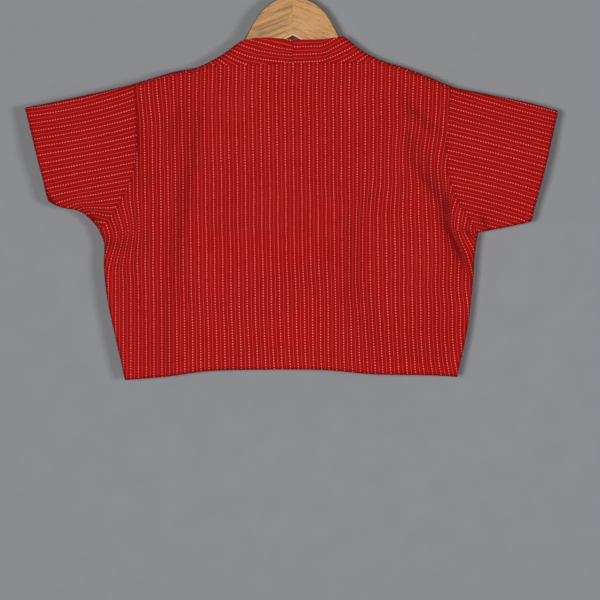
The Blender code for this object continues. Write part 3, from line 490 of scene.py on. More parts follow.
SMALL_SLEEVES = {  # for both layers of a sleeve
    "left": [
        Fold(-252, -180, -236, -194, 3.6, -4.4),
        Fold(-300, -156, -289, -174, 2.4, -3.4),
        Fold(-238, -176, -226, -188, 3.5, -1.6),
        Fold(-206, -176, -246, -190, 5, -0.8),
        Fold(-226, -190, -262, -192, 4, -0.9),
        Fold(-200, -112, -250, -132, 9, -0.6),
        Fold(-240, -80, -306, -96, 12, 0.5),
        Fold(-270, -120, -300, -150, 9, -0.5),
    ],
    "right": [
        Fold(229, -184, 238, -201, 3.3, -4.2),
        Fold(222, -192, 240, -202, 4, -1.4),
        Fold(206, -176, 246, -190, 5, -1.0),
        Fold(214, -160, 262, -176, 6, -0.7),
        Fold(204, -120, 250, -132, 9, -0.5),
        Fold(240, -80, 306, -96, 12, 0.5),
        Fold(270, -120, 304, -150, 9, -0.5),
    ],
}
SMALL_COLLAR = [
    Fold(40, 26, 44, 2, 4, -0.8),
    Fold(-50, 22, -40, 2, 5, -0.5),
]
WAVES = [  # slight waves of the cloth
    Wave(0.30, 61.0, 0.4, 0.2),
    Wave(0.22, 38.0, 1.9, 1.3),
    Wave(0.16, 27.0, 2.7, 4.1),
    Wave(0.12, 19.0, 1.2, 2.6),
    Wave(0.08, 13.0, 0.1, 5.2),
]
WAVE_TURN = 0.9  # radians by which the directions turn, one way on the front and the other on the back
WAVE_SWAY = 2.3  # radians of the wave by which its crests sway up and down the cloth
WAVE_SWAY_LENGTH = 2.1  # longer sways for a larger number, in wave lengths
RELIEF_FADE = (2.0, 22.0)  # creases and waves begin this far from a folded edge, and are whole this far in
HEM_DEPTH = 18.0  # the body's turned hem
CUFF_DEPTH = 12.0  # the sleeves' turned hem
COLLAR_TURN = 5.0  # the collar's free edge is double for this much
NO_EDGE = 400.0  # the distance from a finished edge that stands for none
SEAM_DIP = 1.2  # how deep the cloth sinks at a seam
SEAM_DIP_WIDTH = 1.5
SEAM_FADE = 7.0  # a seam's dip starts from nothing at a folded edge and is whole this far in
FLAT_SEAM = 0.5  # the collar's seams, pressed flat, dip and crease by this share
SEAM_SHADE = 0.35  # painted shade: a seam is darkened as this much of a crease
FOLDED_EDGE_SHADE = 0.9  # painted shade: a folded edge, where the cloth turns away from the light, is darkened as this much of a crease
FOLDED_EDGE_SHADE_WIDTH = 3.4
SEAM_RIDGE = 0.35  # the turned edges inside lift the cloth beside a seam
SEAM_RIDGE_PLACE = 5.5
SEAM_RIDGE_WIDTH = 3.2
SLEEVE_SEAM_RIDGE = -0.3  # a sleeve sinks there instead, by this share of the ridge
TURNING_END = (-0.5, 1.3)  # a turning's thickness fades between these distances from its depth
PAST_NECK = 40.0  # over the shoulder the collar's edge is a fold, and counts as this far from a turned edge
HEM_LIFT = 0.30  # a turned edge stands out by this much
HEM_PAINTED_LIGHT = 0.12  # painted light: the doubled hem is painted a little paler, as though it were this much less creased
TURN_COLUMNS = (0.0, 0.35, 1.1, 2.3, 3.9, 5.8, 7.8)  # distances from a fold, across its turn
FRONT_EDGE_COLUMNS = (0.0, 0.5, 1.5, 3.2)
SLEEVE_SEAM_COLUMNS = (0.0, 0.6, 1.8, 3.4)
ROUND_CORNER = (0.0, 0.8, 2.2, 4.2)  # distances from the underarm along both of its seams
TURNED_HEM = (0.0, 0.5, 1.4, 3.0, 5.2, 7.8, 10.4, 13.0, 15.2, 16.6, 17.6, 18.6, 20.0)
TURNED_CUFF = (0.0, 0.5, 1.4, 3.0, 5.2, 7.6, 9.6, 10.8, 11.8, 12.8, 14.4)
TOP_ROWS_BACK = (0.0, 0.5, 1.3, 2.5, 4.0, 5.8)
TOP_ROWS_FRONT = (0.0, 0.3, 1.0, 2.1, 3.6, 5.4, 7.4, 9.6)
COLLAR_ROWS = (0.0, 0.02, 0.06, 0.12, 0.2, 0.29, 0.38, 0.47, 0.56, 0.65, 0.74, 0.83, 0.9, 0.96, 1.0)
SIDE_LENGTH = 180.0  # lengths in round numbers, for counting a piece's rows and columns
SLEEVE_LENGTH = 110.0
SLEEVE_HALF_ROUND = 150.0
COLLAR_MORE_STEPS = 12  # the collar's free edge has this many columns more than its length gives
MERGE = 1e-6  # metres: points of a solid nearer than this are one
ARM_SECTIONS = 120
EDGE_STEPS = 9
STEM_RINGS = 30
BEND_RINGS = 25
CROWN_RINGS = 110
WIRE_SIDES = 24
SHARP_ANGLE = 50.0  # degrees: edges of the wood and the wire that turn by more than this stay sharp


def fine_shares(length, count, low, high):
    """Shares of a length: the given distances from both ends, and a count of even steps between them."""
    start = np.asarray(low, float)
    end = length - np.asarray(high, float)[::-1]
    middle = np.linspace(start[-1], end[0], count + 1)[1:-1]
    return np.concatenate([start, middle, end]) / length


def nearest_on(line, points):
    """Distance from each point to a polyline and the direction from the line into the cloth.

    Each segment a to b offers the point a + t(b - a), with t the projection held between 0 and 1.
    """
    best = np.full(len(points), np.inf)
    away = np.zeros((len(points), 2))
    inward = np.zeros((len(points), 2))
    normals = left_normals(line)
    for i in range(len(line) - 1):
        step = line[i + 1] - line[i]
        t = np.clip((points - line[i]) @ step / max(step @ step, TINY), 0, 1)
        gap = points - line[i] - t[:, None] * step
        size = np.einsum("ij,ij->i", gap, gap)
        closer = size < best
        best[closer] = size[closer]
        away[closer] = gap[closer]
        turn = t[closer, None]
        inward[closer] = (1 - turn) * normals[i] + turn * normals[i + 1]
    distance = np.sqrt(best)
    clear = distance > ON_LINE
    inward[clear] = away[clear] / distance[clear, None]
    return distance, unit(inward)


def past_hanger(x):
    """0 over the hanger, eased to 1 past its tips."""
    return ease(np.abs(x), WOOD_HALF_SPAN + PAST_TIP_FROM, WOOD_HALF_SPAN + PAST_TIP_TO)


def nearest_edge(points):
    """Distance to the nearest folded edge, the direction away from it, and that fold's radius."""
    found = [nearest_on(line, points) for line in RIDGES + LOWER_EDGES]
    distances = np.array([distance for distance, _ in found])
    best = distances.argmin(0)
    row = np.arange(len(points))
    inward = np.array([direction for _, direction in found])[best, row]
    ridge_radius = SHOULDER_ROLL + (SLEEVE_TOP_ROLL - SHOULDER_ROLL) * past_hanger(points[:, 0])
    return distances[best, row], inward, np.where(best < len(RIDGES), ridge_radius, SIDE_ROLL)


def fold_height(folds, x, z):
    """Sum of the folds: each is a bell across its centre line and fades past the ends."""
    total = np.zeros_like(x)
    for fold in folds:
        across, fade = fold_frame(fold, x, z, min(FOLD_END, SHARP_END * fold.width))
        total += fold.depth * fade * np.exp(-(across / fold.width) ** 2)
    return total


def crease_shade(folds, x, z):
    """How sharply the cloth dips, for the painted shade in its creases: the folds' bells again, each weighed
    by its depth over its width.
    """
    return fold_height([fold._replace(depth=-fold.depth / fold.width) for fold in folds], x, z)


def waves(x, z, face):
    """Slight waves: swaying sines, whose directions differ from one face to the other."""
    total = np.zeros_like(x)
    for wave in WAVES:
        direction = wave.direction + WAVE_TURN * face
        run = x * math.cos(direction) + z * math.sin(direction)
        sway = WAVE_SWAY * np.sin(z / (WAVE_SWAY_LENGTH * wave.length) + wave.start)
        total += wave.height * np.sin(2 * math.pi * run / wave.length + wave.start + sway)
    return total


def cloth_level(points, face, relief):
    """The cloth's distance from the plane, away from its folded edges; the hanger calms its relief."""
    x, z = points[:, 0], points[:, 1]
    gain = BACK_FULLNESS if face < 0 else FRONT_FULLNESS
    flat_side = 1 - FLAT_SIDES * ease(np.abs(x), FLAT_SIDES_FROM, FLAT_SIDES_TO)
    full = ease(-z, -FULLNESS_TOP, -FULLNESS_BOTTOM) * flat_side
    level = BASE_DEPTH + gain * full + fold_height(FOLDS[face], x, z)
    ridge = np.where(x < 0, at_x(RIDGES[0], x), at_x(RIDGES[1], x))
    over_hanger = 1 - ease(ridge - z, HANGER_BELOW_FOLD, HANGER_BELOW_FOLD + HANGER_FADE)
    over_hanger *= 1 - past_hanger(x)
    least = LEAST_DEPTH + (OVER_HANGER_DEPTH - LEAST_DEPTH) * over_hanger
    return smooth_max(level, least) + relief * (1 - HANGER_CALM * over_hanger)


def grid_normals(points, face):
    """Unit normals of a grid of points, from the cross product of its two directions."""
    rows, columns = np.gradient(points, axis=0), np.gradient(points, axis=1)
    normal = np.cross(rows, columns)
    return unit(normal * np.sign(normal[..., 1:2] * face + TINY))


def cloth_surface(plane, face, small, seams, sink=0.0, lift=0.0):
    """Outer points, normals and the painted shade of creases, folded edges and seams over a grid of the
    plane.

    Past a folded edge the section is a quarter circle of the fold's radius, then eases to cloth_level()
    with the small creases and waves, less any sink. Along its normal the cloth dips at the seams, rises in
    a ridge beside them, and is lifted where it is turned.
    """
    shape = plane.shape[:2]
    flat = plane.reshape(-1, 2)
    x, z = flat[:, 0], flat[:, 1]
    distance, inward, radius = nearest_edge(flat)
    relief = fold_height(small, x, z) + waves(x, z, face)
    painted_shade = crease_shade([*FOLDS[face], *small], x, z)
    # painted shade along the folded edges
    painted_shade += FOLDED_EDGE_SHADE * (1 - ease(distance, 0.0, FOLDED_EDGE_SHADE_WIDTH))
    level = cloth_level(flat, face, relief * ease(distance, *RELIEF_FADE))
    roll = np.sqrt(np.maximum(radius ** 2 - (radius - np.minimum(distance, radius)) ** 2, 0))
    depth = roll + (level - radius) * ease(distance - radius, 0, ROLL_EASE) - sink
    points = np.stack([x, face * depth, z], axis=1).reshape(*shape, 3)
    normals = grid_normals(points, face).reshape(-1, 3)
    cosine = np.clip(1 - distance / radius, 0, 1)
    sine = np.sqrt(1 - cosine ** 2)
    rolled = np.stack([-cosine * inward[:, 0], face * sine, -cosine * inward[:, 1]], axis=1)
    normals = np.where((distance < radius)[:, None], rolled, normals)
    change = np.zeros(len(flat)) + lift
    for seam in seams:
        gap, _ = nearest_on(seam.line, flat)
        dip = seam.dip * np.exp(-(gap / SEAM_DIP_WIDTH) ** 2)
        ridge = seam.ridge * SEAM_RIDGE * np.exp(-((gap - SEAM_RIDGE_PLACE) / SEAM_RIDGE_WIDTH) ** 2)
        change = change - SEAM_DIP * dip * ease(distance, 0.0, SEAM_FADE) + ridge
        # painted shade in the seam's dip
        painted_shade = painted_shade + SEAM_SHADE * dip
    points = points.reshape(-1, 3) + change[:, None] * normals
    return points, normals, painted_shade


def quad_values(grid):
    """A grid's values at the corners of its quads, going round each quad."""
    corners = [grid[:-1, :-1], grid[:-1, 1:], grid[1:, 1:], grid[1:, :-1]]
    return np.stack([corner.reshape(-1, grid.shape[-1]) for corner in corners], axis=1)


def index_quads(index):
    """Quads of a grid of point numbers, one row of four numbers each."""
    return quad_values(index[..., None])[..., 0]


def coons(bottom, top, left, right, across, up):
    """A grid between four edges: both ruled surfaces added, less the corners' bilinear surface."""
    s, t = across[None, :, None], up[:, None, None]
    ruled = (1 - t) * bottom[None] + t * top[None] + (1 - s) * left[:, None] + s * right[:, None]
    low_corners = (1 - t) * ((1 - s) * bottom[0] + s * bottom[-1])
    high_corners = t * ((1 - s) * top[0] + s * top[-1])
    return ruled - low_corners - high_corners


def shell(name, cloth, points, normals, turn, painted_shade, blocks, flip):
    """A closed cloth shell from its outer face: an inner face along the normals and a rounded rim.

    The cloth is twice as thick where it is turned. The rim's middle row stands out from the edge by half
    the thickness, across the edge's own direction.
    """
    count = len(points)
    thick = cloth.thickness / MM * (1 + turn)
    quads = np.vstack([index_quads(block.index) for block in blocks])
    uv = np.vstack([quad_values(block.uv) for block in blocks])
    edge = np.vstack([quad_values(block.edge) for block in blocks])
    if flip:
        quads, uv, edge = quads[:, ::-1], uv[:, ::-1], edge[:, ::-1]
    start = quads.ravel()
    end = np.roll(quads, -1, axis=1).ravel()
    lone = ~np.isin(start * count + end, end * count + start)
    rim_start, rim_end = start[lone], end[lone]
    run = points[rim_end] - points[rim_start]
    away = unit(np.cross(run, normals[rim_start] + normals[rim_end]))
    outward = np.zeros_like(points)
    np.add.at(outward, rim_start, away)
    np.add.at(outward, rim_end, away)
    outward = unit(outward)
    inner = points - thick[:, None] * normals
    middle = (points + inner) / 2 + 0.5 * thick[:, None] * outward
    used = np.unique(rim_start)
    place = np.zeros(count, int)
    place[used] = 2 * count + np.arange(len(used))
    vertices = np.vstack([points, inner, middle[used]])
    rim_outer = np.stack([rim_end, rim_start, place[rim_start], place[rim_end]], axis=1)
    rim_inner = np.stack([place[rim_end], place[rim_start], rim_start + count, rim_end + count], axis=1)
    faces = np.vstack([quads, quads[:, ::-1] + count, rim_outer, rim_inner])
    maps = {}
    for label, values in (("cloth", uv), ("edge", edge)):
        at_start, at_end = values.reshape(-1, 2)[lone], np.roll(values, -1, axis=1).reshape(-1, 2)[lone]
        rim = np.stack([at_end, at_start, at_start, at_end], axis=1)
        maps[label] = np.vstack([values, values[:, ::-1], rim, rim]) * MM
    made = mesh_object(name, vertices, faces, maps)
    # the painted shade of creases, folded edges and seams, and painted light on raised folds and the turned
    # hem
    layer = made.data.attributes.new("painted_shade", "FLOAT", "POINT")
    layer.data.foreach_set("value", np.concatenate([painted_shade, painted_shade, painted_shade[used]]).astype(np.float32))
    return made


def hung(points):
    """Points of the drawing in metres, below the origin in the hook."""
    return (points + (0, 0, NECK_SEAM_Z)) * MM


def mesh_object(name, points, quads, maps):
    """A smooth mesh object of quads, hung from the origin, with UV maps given by face corner."""
    placed = hung(points)
    mesh = bpy.data.meshes.new(name)
    mesh.vertices.add(len(placed))
    mesh.vertices.foreach_set("co", placed.astype(np.float32).ravel())
    mesh.loops.add(quads.size)
    mesh.loops.foreach_set("vertex_index", quads.astype(np.int32).ravel())
    mesh.polygons.add(len(quads))
    mesh.polygons.foreach_set("loop_start", np.arange(0, quads.size, 4, dtype=np.int32))
    mesh.update(calc_edges=True)
    for label, corners in maps.items():
        layer = mesh.uv_layers.new(name=label)
        layer.data.foreach_set("uv", corners.astype(np.float32).ravel())
    mesh.shade_smooth()
    mesh.validate()
    return link(name, mesh)


def link(name, data):
    """A new object of the scene with the given data."""
    made = bpy.data.objects.new(name, data)
    bpy.context.scene.collection.objects.link(made)
    return made


# ---- seams shared by the pieces ------------------------------------------------------------------------

def armhole_curve(side, face):
    """The armhole seam from the underarm to the shoulder fold; the front is scooped a little further in."""
    line = smooth_curve(side.armhole)
    if face > 0:
        share = lengths_along(line) / lengths_along(line)[-1]
        line[:, 0] -= side.sign * FRONT_ARMHOLE_SCOOP * np.sin(math.pi * share) ** 2
    return line


def back_armhole(side):
    """The back's part of the armhole: it stops at the shoulder seam, short of the fold."""
    line = armhole_curve(side, -1)
    length = lengths_along(line)[-1]
    part = (length - SHOULDER_SEAM_DROP) / length
    return at_share(line, np.linspace(0, part, len(line)))


def seam_height(side, x):
    """Height of the seam between the back and the collar, and on along the shoulder."""
    straight = NECK_SEAM_TILT * x
    shoulder = at_x(smooth_curve(side.ridge), x) - SHOULDER_SEAM_DROP
    return -smooth_max(-straight, -shoulder, SEAM_CORNER)


def back_top_line(side):
    """The seam between the back and a front, from the centre back to the shoulder tip."""
    x = side.sign * np.linspace(0, TIP_X, SEAM_SAMPLES)
    edge = np.stack([x, seam_height(side, x)], axis=1)
    near_armhole = ease(np.abs(x), TIP_X - SEAM_END, TIP_X)
    return edge + near_armhole[:, None] * (back_armhole(side)[-1] - edge[-1])


def outer_rail(side, face, cloth):
    """A body piece's rail up the side seam and the armhole, and the number of rows below the armhole."""
    steps = steps_over(SIDE_LENGTH, cloth)
    seam = smooth_curve(side.side)[::-1]
    low = at_share(seam, fine_shares(lengths_along(seam)[-1], steps, TURNED_HEM, ROUND_CORNER))
    arm = back_armhole(side) if face < 0 else armhole_curve(side, 1)
    top = TOP_ROWS_BACK if face < 0 else TOP_ROWS_FRONT
    high = at_share(arm, fine_shares(lengths_along(arm)[-1], steps, ROUND_CORNER, top))
    high = high + side.sign * HALF_GAP * left_normals(high)
    if face > 0:
        low[:, 1] += FRONT_HEM_LIFT * (1 - np.linspace(0, 1, len(low)))
    return np.vstack([low[:-1], high]), len(low)


def steps_over(length, cloth):
    """The count of even steps over a length in millimetres, at the cloth's mesh spacing."""
    return int(math.ceil(length * MM / cloth.spacing))


def from_hem(hem, plane, along):
    """For each point of a grid, its distance from a finished edge and its place along it, on one axis."""
    gap, _ = nearest_on(hem, plane.reshape(-1, 2))
    return np.stack([gap.reshape(plane.shape[:2]), plane[..., along]], axis=-1)


def turned(distance, depth):
    """1 over a turned edge, eased to 0 past the end of its turning."""
    return 1 - ease(distance, depth + TURNING_END[0], depth + TURNING_END[1])


def make_back(name, cloth):
    """The back as one shell, from the hem to the neck and shoulder seams: a Coons patch between them."""
    rails = []
    for side in (LEFT, RIGHT):
        rail, low_rows = outer_rail(side, -1, cloth)
        rail[-1] += (0, -HALF_GAP)
        rails.append(rail)
    top_line = np.vstack([back_top_line(LEFT)[::-1], back_top_line(RIGHT)[1:]]) + (0, -HALF_GAP)
    width = top_line[-1, 0] - top_line[0, 0]
    across = fine_shares(width, steps_over(width, cloth), TURN_COLUMNS, TURN_COLUMNS)
    top_x = top_line[0, 0] + across * width
    top = np.stack([top_x, np.interp(top_x, top_line[:, 0], top_line[:, 1])], axis=1)
    top[0], top[-1] = rails[0][-1], rails[1][-1]
    hem_line = smooth_curve(BACK_HEM)
    hem_x = HEM_LEFT.x + across * (HEM_RIGHT.x - HEM_LEFT.x)
    hem = np.stack([hem_x, at_x(hem_line, hem_x)], axis=1)
    up = lengths_along(rails[0])
    plane = coons(hem, top, rails[0], rails[1], across, up / up[-1])
    edge = from_hem(hem_line, plane, 0)
    hem_turn = turned(edge[..., 0].ravel(), HEM_DEPTH)
    seams = [Seam(armhole_curve(LEFT, -1), 1, 1), Seam(armhole_curve(RIGHT, -1), 1, 1),
             Seam(top_line, 0, FLAT_SEAM)]
    points, normals, painted_shade = cloth_surface(plane, -1, SMALL_BACK, seams, lift=HEM_LIFT * hem_turn)
    # painted light on the turned hem
    painted_shade = painted_shade - HEM_PAINTED_LIGHT * hem_turn
    columns = plane.shape[1]
    seam_rows = np.arange(low_rows) * columns
    side_seams = np.concatenate([seam_rows, seam_rows + columns - 1])
    points[side_seams, 1] = np.minimum(points[side_seams, 1], -HALF_GAP)
    index = np.arange(len(points)).reshape(plane.shape[:2])
    block = Block(index, back_lines(plane), edge)
    return shell(name, cloth, points, normals, hem_turn, painted_shade, [block], False)


def neckline_x(side, z):
    """Place across of a front's neckline and front edge, at the given heights."""
    curve = smooth_curve([Point(abs(side.ridge[0].x), side.ridge[0].z)] + NECKLINE)
    return side.sign * np.interp(z, curve[::-1, 1], curve[::-1, 0])


def under_lap(side, points):
    """How far the left front sinks to lie beneath the right one."""
    if side.sign > 0:
        return np.zeros(len(points))
    across = ease(points[:, 0], *LAP_SINKS_ACROSS)
    return (WALL + LAP_CLEARANCE) * across * (1 - ease(points[:, 1], *LAP_SINKS_UP))


def front_plane(side, ridge_x, cloth):
    """A front's grid in the plane from its hem (first row) to the shoulder fold (last row)."""
    rail, low_rows = outer_rail(side, 1, cloth)
    ridge = np.stack([ridge_x, at_x(smooth_curve(side.ridge), ridge_x)], axis=1)
    ridge[-1] = rail[-1]
    across = (ridge[:, 0] - ridge[0, 0]) / (ridge[-1, 0] - ridge[0, 0])
    hem_x = -side.sign * FRONT_LAP + across * (rail[0, 0] + side.sign * FRONT_LAP)
    hem = np.stack([hem_x, at_x(smooth_curve(BACK_HEM), hem_x) + FRONT_HEM_LIFT], axis=1)
    hem[-1] = rail[0]
    rise = (rail[:, 1] - rail[0, 1]) / (rail[-1, 1] - rail[0, 1])
    inner_z = hem[0, 1] + rise * (ridge[0, 1] - hem[0, 1])
    inner = np.stack([neckline_x(side, inner_z), inner_z], axis=1)
    inner[0], inner[-1] = hem[0], ridge[0]
    return coons(hem, ridge, inner, rail, across, rise), low_rows


def collar_plane(side, ridge_x, tip, cloth):
    """The grid behind the fold, down from it to the back's seam, and the count of its collar columns."""
    corner = abs(ridge_x[0])
    collar_steps = steps_over(corner, cloth) + COLLAR_MORE_STEPS
    collar_x = side.sign * np.linspace(HALF_GAP, corner, collar_steps)[:-1]
    x = np.concatenate([collar_x, ridge_x])
    ridge_z = at_x(smooth_curve(side.ridge), x)
    top = np.stack([x, np.where(np.abs(x) < corner, at_x(smooth_curve(COLLAR_EDGE), x), ridge_z)], axis=1)
    seam = back_top_line(side)
    bottom = np.stack([x, np.interp(np.abs(x), np.abs(seam[:, 0]), seam[:, 1]) + HALF_GAP], axis=1)
    bottom[-1] = seam[-1] + (0, HALF_GAP) + (tip - top[-1])
    top[-1] = tip
    share = np.array(COLLAR_ROWS)[:, None, None]
    return (1 - share) * top[None] + share * bottom[None], len(collar_x)


def make_front(name, side_name, cloth):
    """A front and its half of the collar: from the hem over the shoulder fold, round to the centre back."""
    side = SIDES[side_name]
    corner = abs(side.ridge[0].x)
    shoulder = TIP_X - corner
    shares = fine_shares(shoulder, steps_over(shoulder, cloth), FRONT_EDGE_COLUMNS, TURN_COLUMNS)
    ridge_x = side.sign * (corner + shares * shoulder)
    panel, low_rows = front_plane(side, ridge_x, cloth)
    rows, columns = panel.shape[:2]
    flat = panel.reshape(-1, 2)
    hem_line = smooth_curve(BACK_HEM) + (0, FRONT_HEM_LIFT)
    edge = from_hem(hem_line, panel, 0)
    turn = turned(edge[..., 0].ravel(), HEM_DEPTH)
    points, normals, painted_shade = cloth_surface(
        panel, 1, SMALL_FRONT, [Seam(armhole_curve(side, 1), 1, 1)], under_lap(side, flat), HEM_LIFT * turn)
    from_front_edge = np.abs(flat[:, 0] - neckline_x(side, flat[:, 1]))
    # painted shade along the front edge
    painted_shade = painted_shade + FOLDED_EDGE_SHADE * (1 - ease(from_front_edge, 0.0, FOLDED_EDGE_SHADE_WIDTH))
    outer_column = np.arange(low_rows) * columns + columns - 1
    points[outer_column, 1] = np.maximum(points[outer_column, 1], HALF_GAP)
    first_of_fold = (rows - 1) * columns
    points[first_of_fold:, 1] = 0.0

    behind, collar_columns = collar_plane(side, ridge_x, panel[-1, -1], cloth)
    seams = [Seam(back_top_line(side), 1, FLAT_SEAM), Seam(armhole_curve(side, -1), 1, 1),
             Seam(np.array(CENTRE_SEAM), 0, FLAT_SEAM)]
    more, more_normals, more_painted_shade = cloth_surface(behind, -1, SMALL_COLLAR, seams)
    count, wide = len(points), behind.shape[1]
    index = np.arange(count, count + behind.shape[0] * wide).reshape(behind.shape[:2])
    index[0, collar_columns:] = first_of_fold + np.arange(columns)
    keep = np.ones(count + len(more), bool)
    keep[count + collar_columns:count + wide] = False
    renumber = np.cumsum(keep) - 1
    below_edge = behind[0, :, 1] - behind[..., 1] + PAST_NECK * (np.abs(behind[..., 0]) > corner)
    blocks = [
        Block(np.arange(count).reshape(rows, columns), front_lines(side, panel), edge),
        Block(renumber[index], collar_lines(side_name, behind), far_edge(behind)),
    ]
    points, normals = np.vstack([points, more])[keep], np.vstack([normals, more_normals])[keep]
    painted_shade = np.concatenate([painted_shade, more_painted_shade])[keep]
    turn = np.concatenate([turn, turned(below_edge, COLLAR_TURN).ravel()])[keep]
    return shell(name, cloth, points, normals, turn, painted_shade, blocks, side.sign > 0)


def far_edge(plane):
    """Edge values for a part without a finished edge: far from any turning."""
    return np.stack([np.full(plane.shape[:2], NO_EDGE), plane[..., 0]], axis=-1)


def sleeve_plane(side, face, cloth):
    """One layer of a sleeve in the plane: rows from the underside to the upper fold, columns to the cuff."""
    ridge = smooth_curve(side.ridge)
    ridge_length = lengths_along(ridge)[-1]
    tip_share = np.interp(TIP_X, np.abs(ridge[:, 0]), lengths_along(ridge) / ridge_length)
    length = ridge_length * (1 - tip_share)
    along = fine_shares(length, steps_over(SLEEVE_LENGTH, cloth), SLEEVE_SEAM_COLUMNS, TURNED_CUFF)
    high = at_share(ridge, tip_share + along * (1 - tip_share))
    low = at_share(smooth_curve(side.sleeve_bottom)[::-1], along)
    seam = armhole_curve(side, face)
    steps = steps_over(SLEEVE_HALF_ROUND, cloth)
    around = fine_shares(lengths_along(seam)[-1], steps, TURN_COLUMNS, TURN_COLUMNS)
    seam = at_share(seam, around)
    seam = seam - side.sign * HALF_GAP * left_normals(seam)
    for rail in (low, high):
        rail[0] += (rail[1] - rail[0]) * HALF_GAP / np.linalg.norm(rail[1] - rail[0])
    seam[0], seam[-1] = low[0], high[0]
    return coons(low, high, seam, at_share(smooth_curve(side.cuff), around), along, around)


def sleeve_layer(side_name, face, cloth):
    """One layer of a sleeve: a grid of its points, normals, painted crease shade and turning, its lines and
    its edge.
    """
    side = SIDES[side_name]
    plane = sleeve_plane(side, face, cloth)
    edge = from_hem(smooth_curve(side.cuff), plane, 1)
    turn = turned(edge[..., 0].ravel(), CUFF_DEPTH)
    seams = [Seam(armhole_curve(side, face), SLEEVE_SEAM_RIDGE, 1)]
    surface = cloth_surface(plane, face, SMALL_SLEEVES[side_name], seams, lift=HEM_LIFT * turn)
    values = [part.reshape(*plane.shape[:2], -1) for part in (*surface, turn)]
    return np.concatenate(values, axis=-1), sleeve_lines(side_name, face, plane), edge


def make_sleeve(name, side_name, cloth):
    """A sleeve: one piece closed into a flat tube along its underside, both layers sharing the folds."""
    (back, back_uv, back_edge), (front, front_uv, front_edge) = (
        sleeve_layer(side_name, face, cloth) for face in (-1, 1))
    back[0, :, 1] = back[-1, :, 1] = 0.0
    rows, columns = back.shape[:2]
    index = np.arange((2 * rows - 2) * columns).reshape(-1, columns)
    front_index = np.vstack([index[:1], index[rows:], index[rows - 1:rows]])
    values = np.vstack([back, front[1:-1]]).reshape(len(index) * columns, -1)
    points, normals, painted_shade, turn = values[:, :3], values[:, 3:6], values[:, 6], values[:, 7]
    blocks = [Block(index[:rows], back_uv, back_edge),
              Block(front_index[::-1], front_uv[::-1], front_edge[::-1])]
    return shell(name, cloth, points, normals, turn, painted_shade, blocks, SIDES[side_name].sign < 0)


# ---- hanger and hook ------------------------------------------------------------------------------------

def make_arm(name, side_name):
    """One half of the hanger: a slab section with rounded edges, carried from the joint to the round tip.

    The sections are even over the crown, and past it they draw together towards the tip by a sine.
    """
    sign = SIDES[side_name].sign
    u = np.linspace(0, 1, ARM_SECTIONS)
    crown, sections = WOOD_CROWN_SHARE, WOOD_CROWN_SECTIONS
    past_crown = crown + (1 - crown) * np.sin((u - sections) / (1 - sections) * math.pi / 2)
    share = np.where(u < sections, crown * u / sections, past_crown)
    x = ARM_GAP + (WOOD_HALF_SPAN - HALF_GAP) * share
    top, bottom = at_x(smooth_curve(WOOD_TOP_LINE), x), at_x(smooth_curve(WOOD_BOTTOM_LINE), x)
    near_tip = np.clip((x - (WOOD_HALF_SPAN - WOOD_TIP_LENGTH)) / WOOD_TIP_LENGTH, 0, 1)
    middle, half = (top + bottom) / 2, (top - bottom) / 2 * (1 - WOOD_TIP_TAPER * near_tip ** 2)
    rounding = WOOD_EDGE_FACE + (WOOD_EDGE_ARM - WOOD_EDGE_FACE) * ease(x, *WOOD_EDGE_CHANGE)
    rounding = np.minimum(rounding, half * WOOD_ROUND_MOST)
    lean = np.minimum(rounding, HANGER_HALF)
    corner = np.repeat(np.arange(4), EDGE_STEPS)
    angle = (corner + np.tile(np.linspace(0, 1, EDGE_STEPS), 4)) * math.pi / 2
    side_y = np.array([1, -1, -1, 1])[corner]
    side_z = np.array([1, 1, -1, -1])[corner]
    y = side_y * (HANGER_HALF - lean[:, None]) + lean[:, None] * np.cos(angle)
    z = middle[:, None] + side_z * (half - rounding)[:, None] + rounding[:, None] * np.sin(angle)
    points = np.stack([np.broadcast_to(sign * x[:, None], y.shape), y, z], axis=2)
    return tube(name, points)


def tube(name, rings):
    """A closed smooth solid through rings of points, each end closed by a fan round its middle."""
    count, size = rings.shape[:2]
    index = np.arange(count * size).reshape(count, size)
    index = np.hstack([index, index[:, :1]])
    fans = [np.stack([row[:-1], row[1:], np.full(size, count * size + place)], axis=1)
            for place, row in enumerate((index[0], index[-1]))]
    points = np.vstack([rings.reshape(-1, 3), rings[0].mean(axis=0), rings[-1].mean(axis=0)])
    faces = index_quads(index).tolist() + np.vstack(fans).tolist()
    mesh = bpy.data.meshes.new(name)
    mesh.from_pydata(hung(points).tolist(), [], faces)
    work = bmesh.new()
    work.from_mesh(mesh)
    bmesh.ops.remove_doubles(work, verts=work.verts, dist=MERGE)
    bmesh.ops.recalc_face_normals(work, faces=work.faces)
    work.to_mesh(mesh)
    work.free()
    mesh.shade_smooth()
    mesh.set_sharp_from_angle(angle=math.radians(SHARP_ANGLE))
    return link(name, mesh)


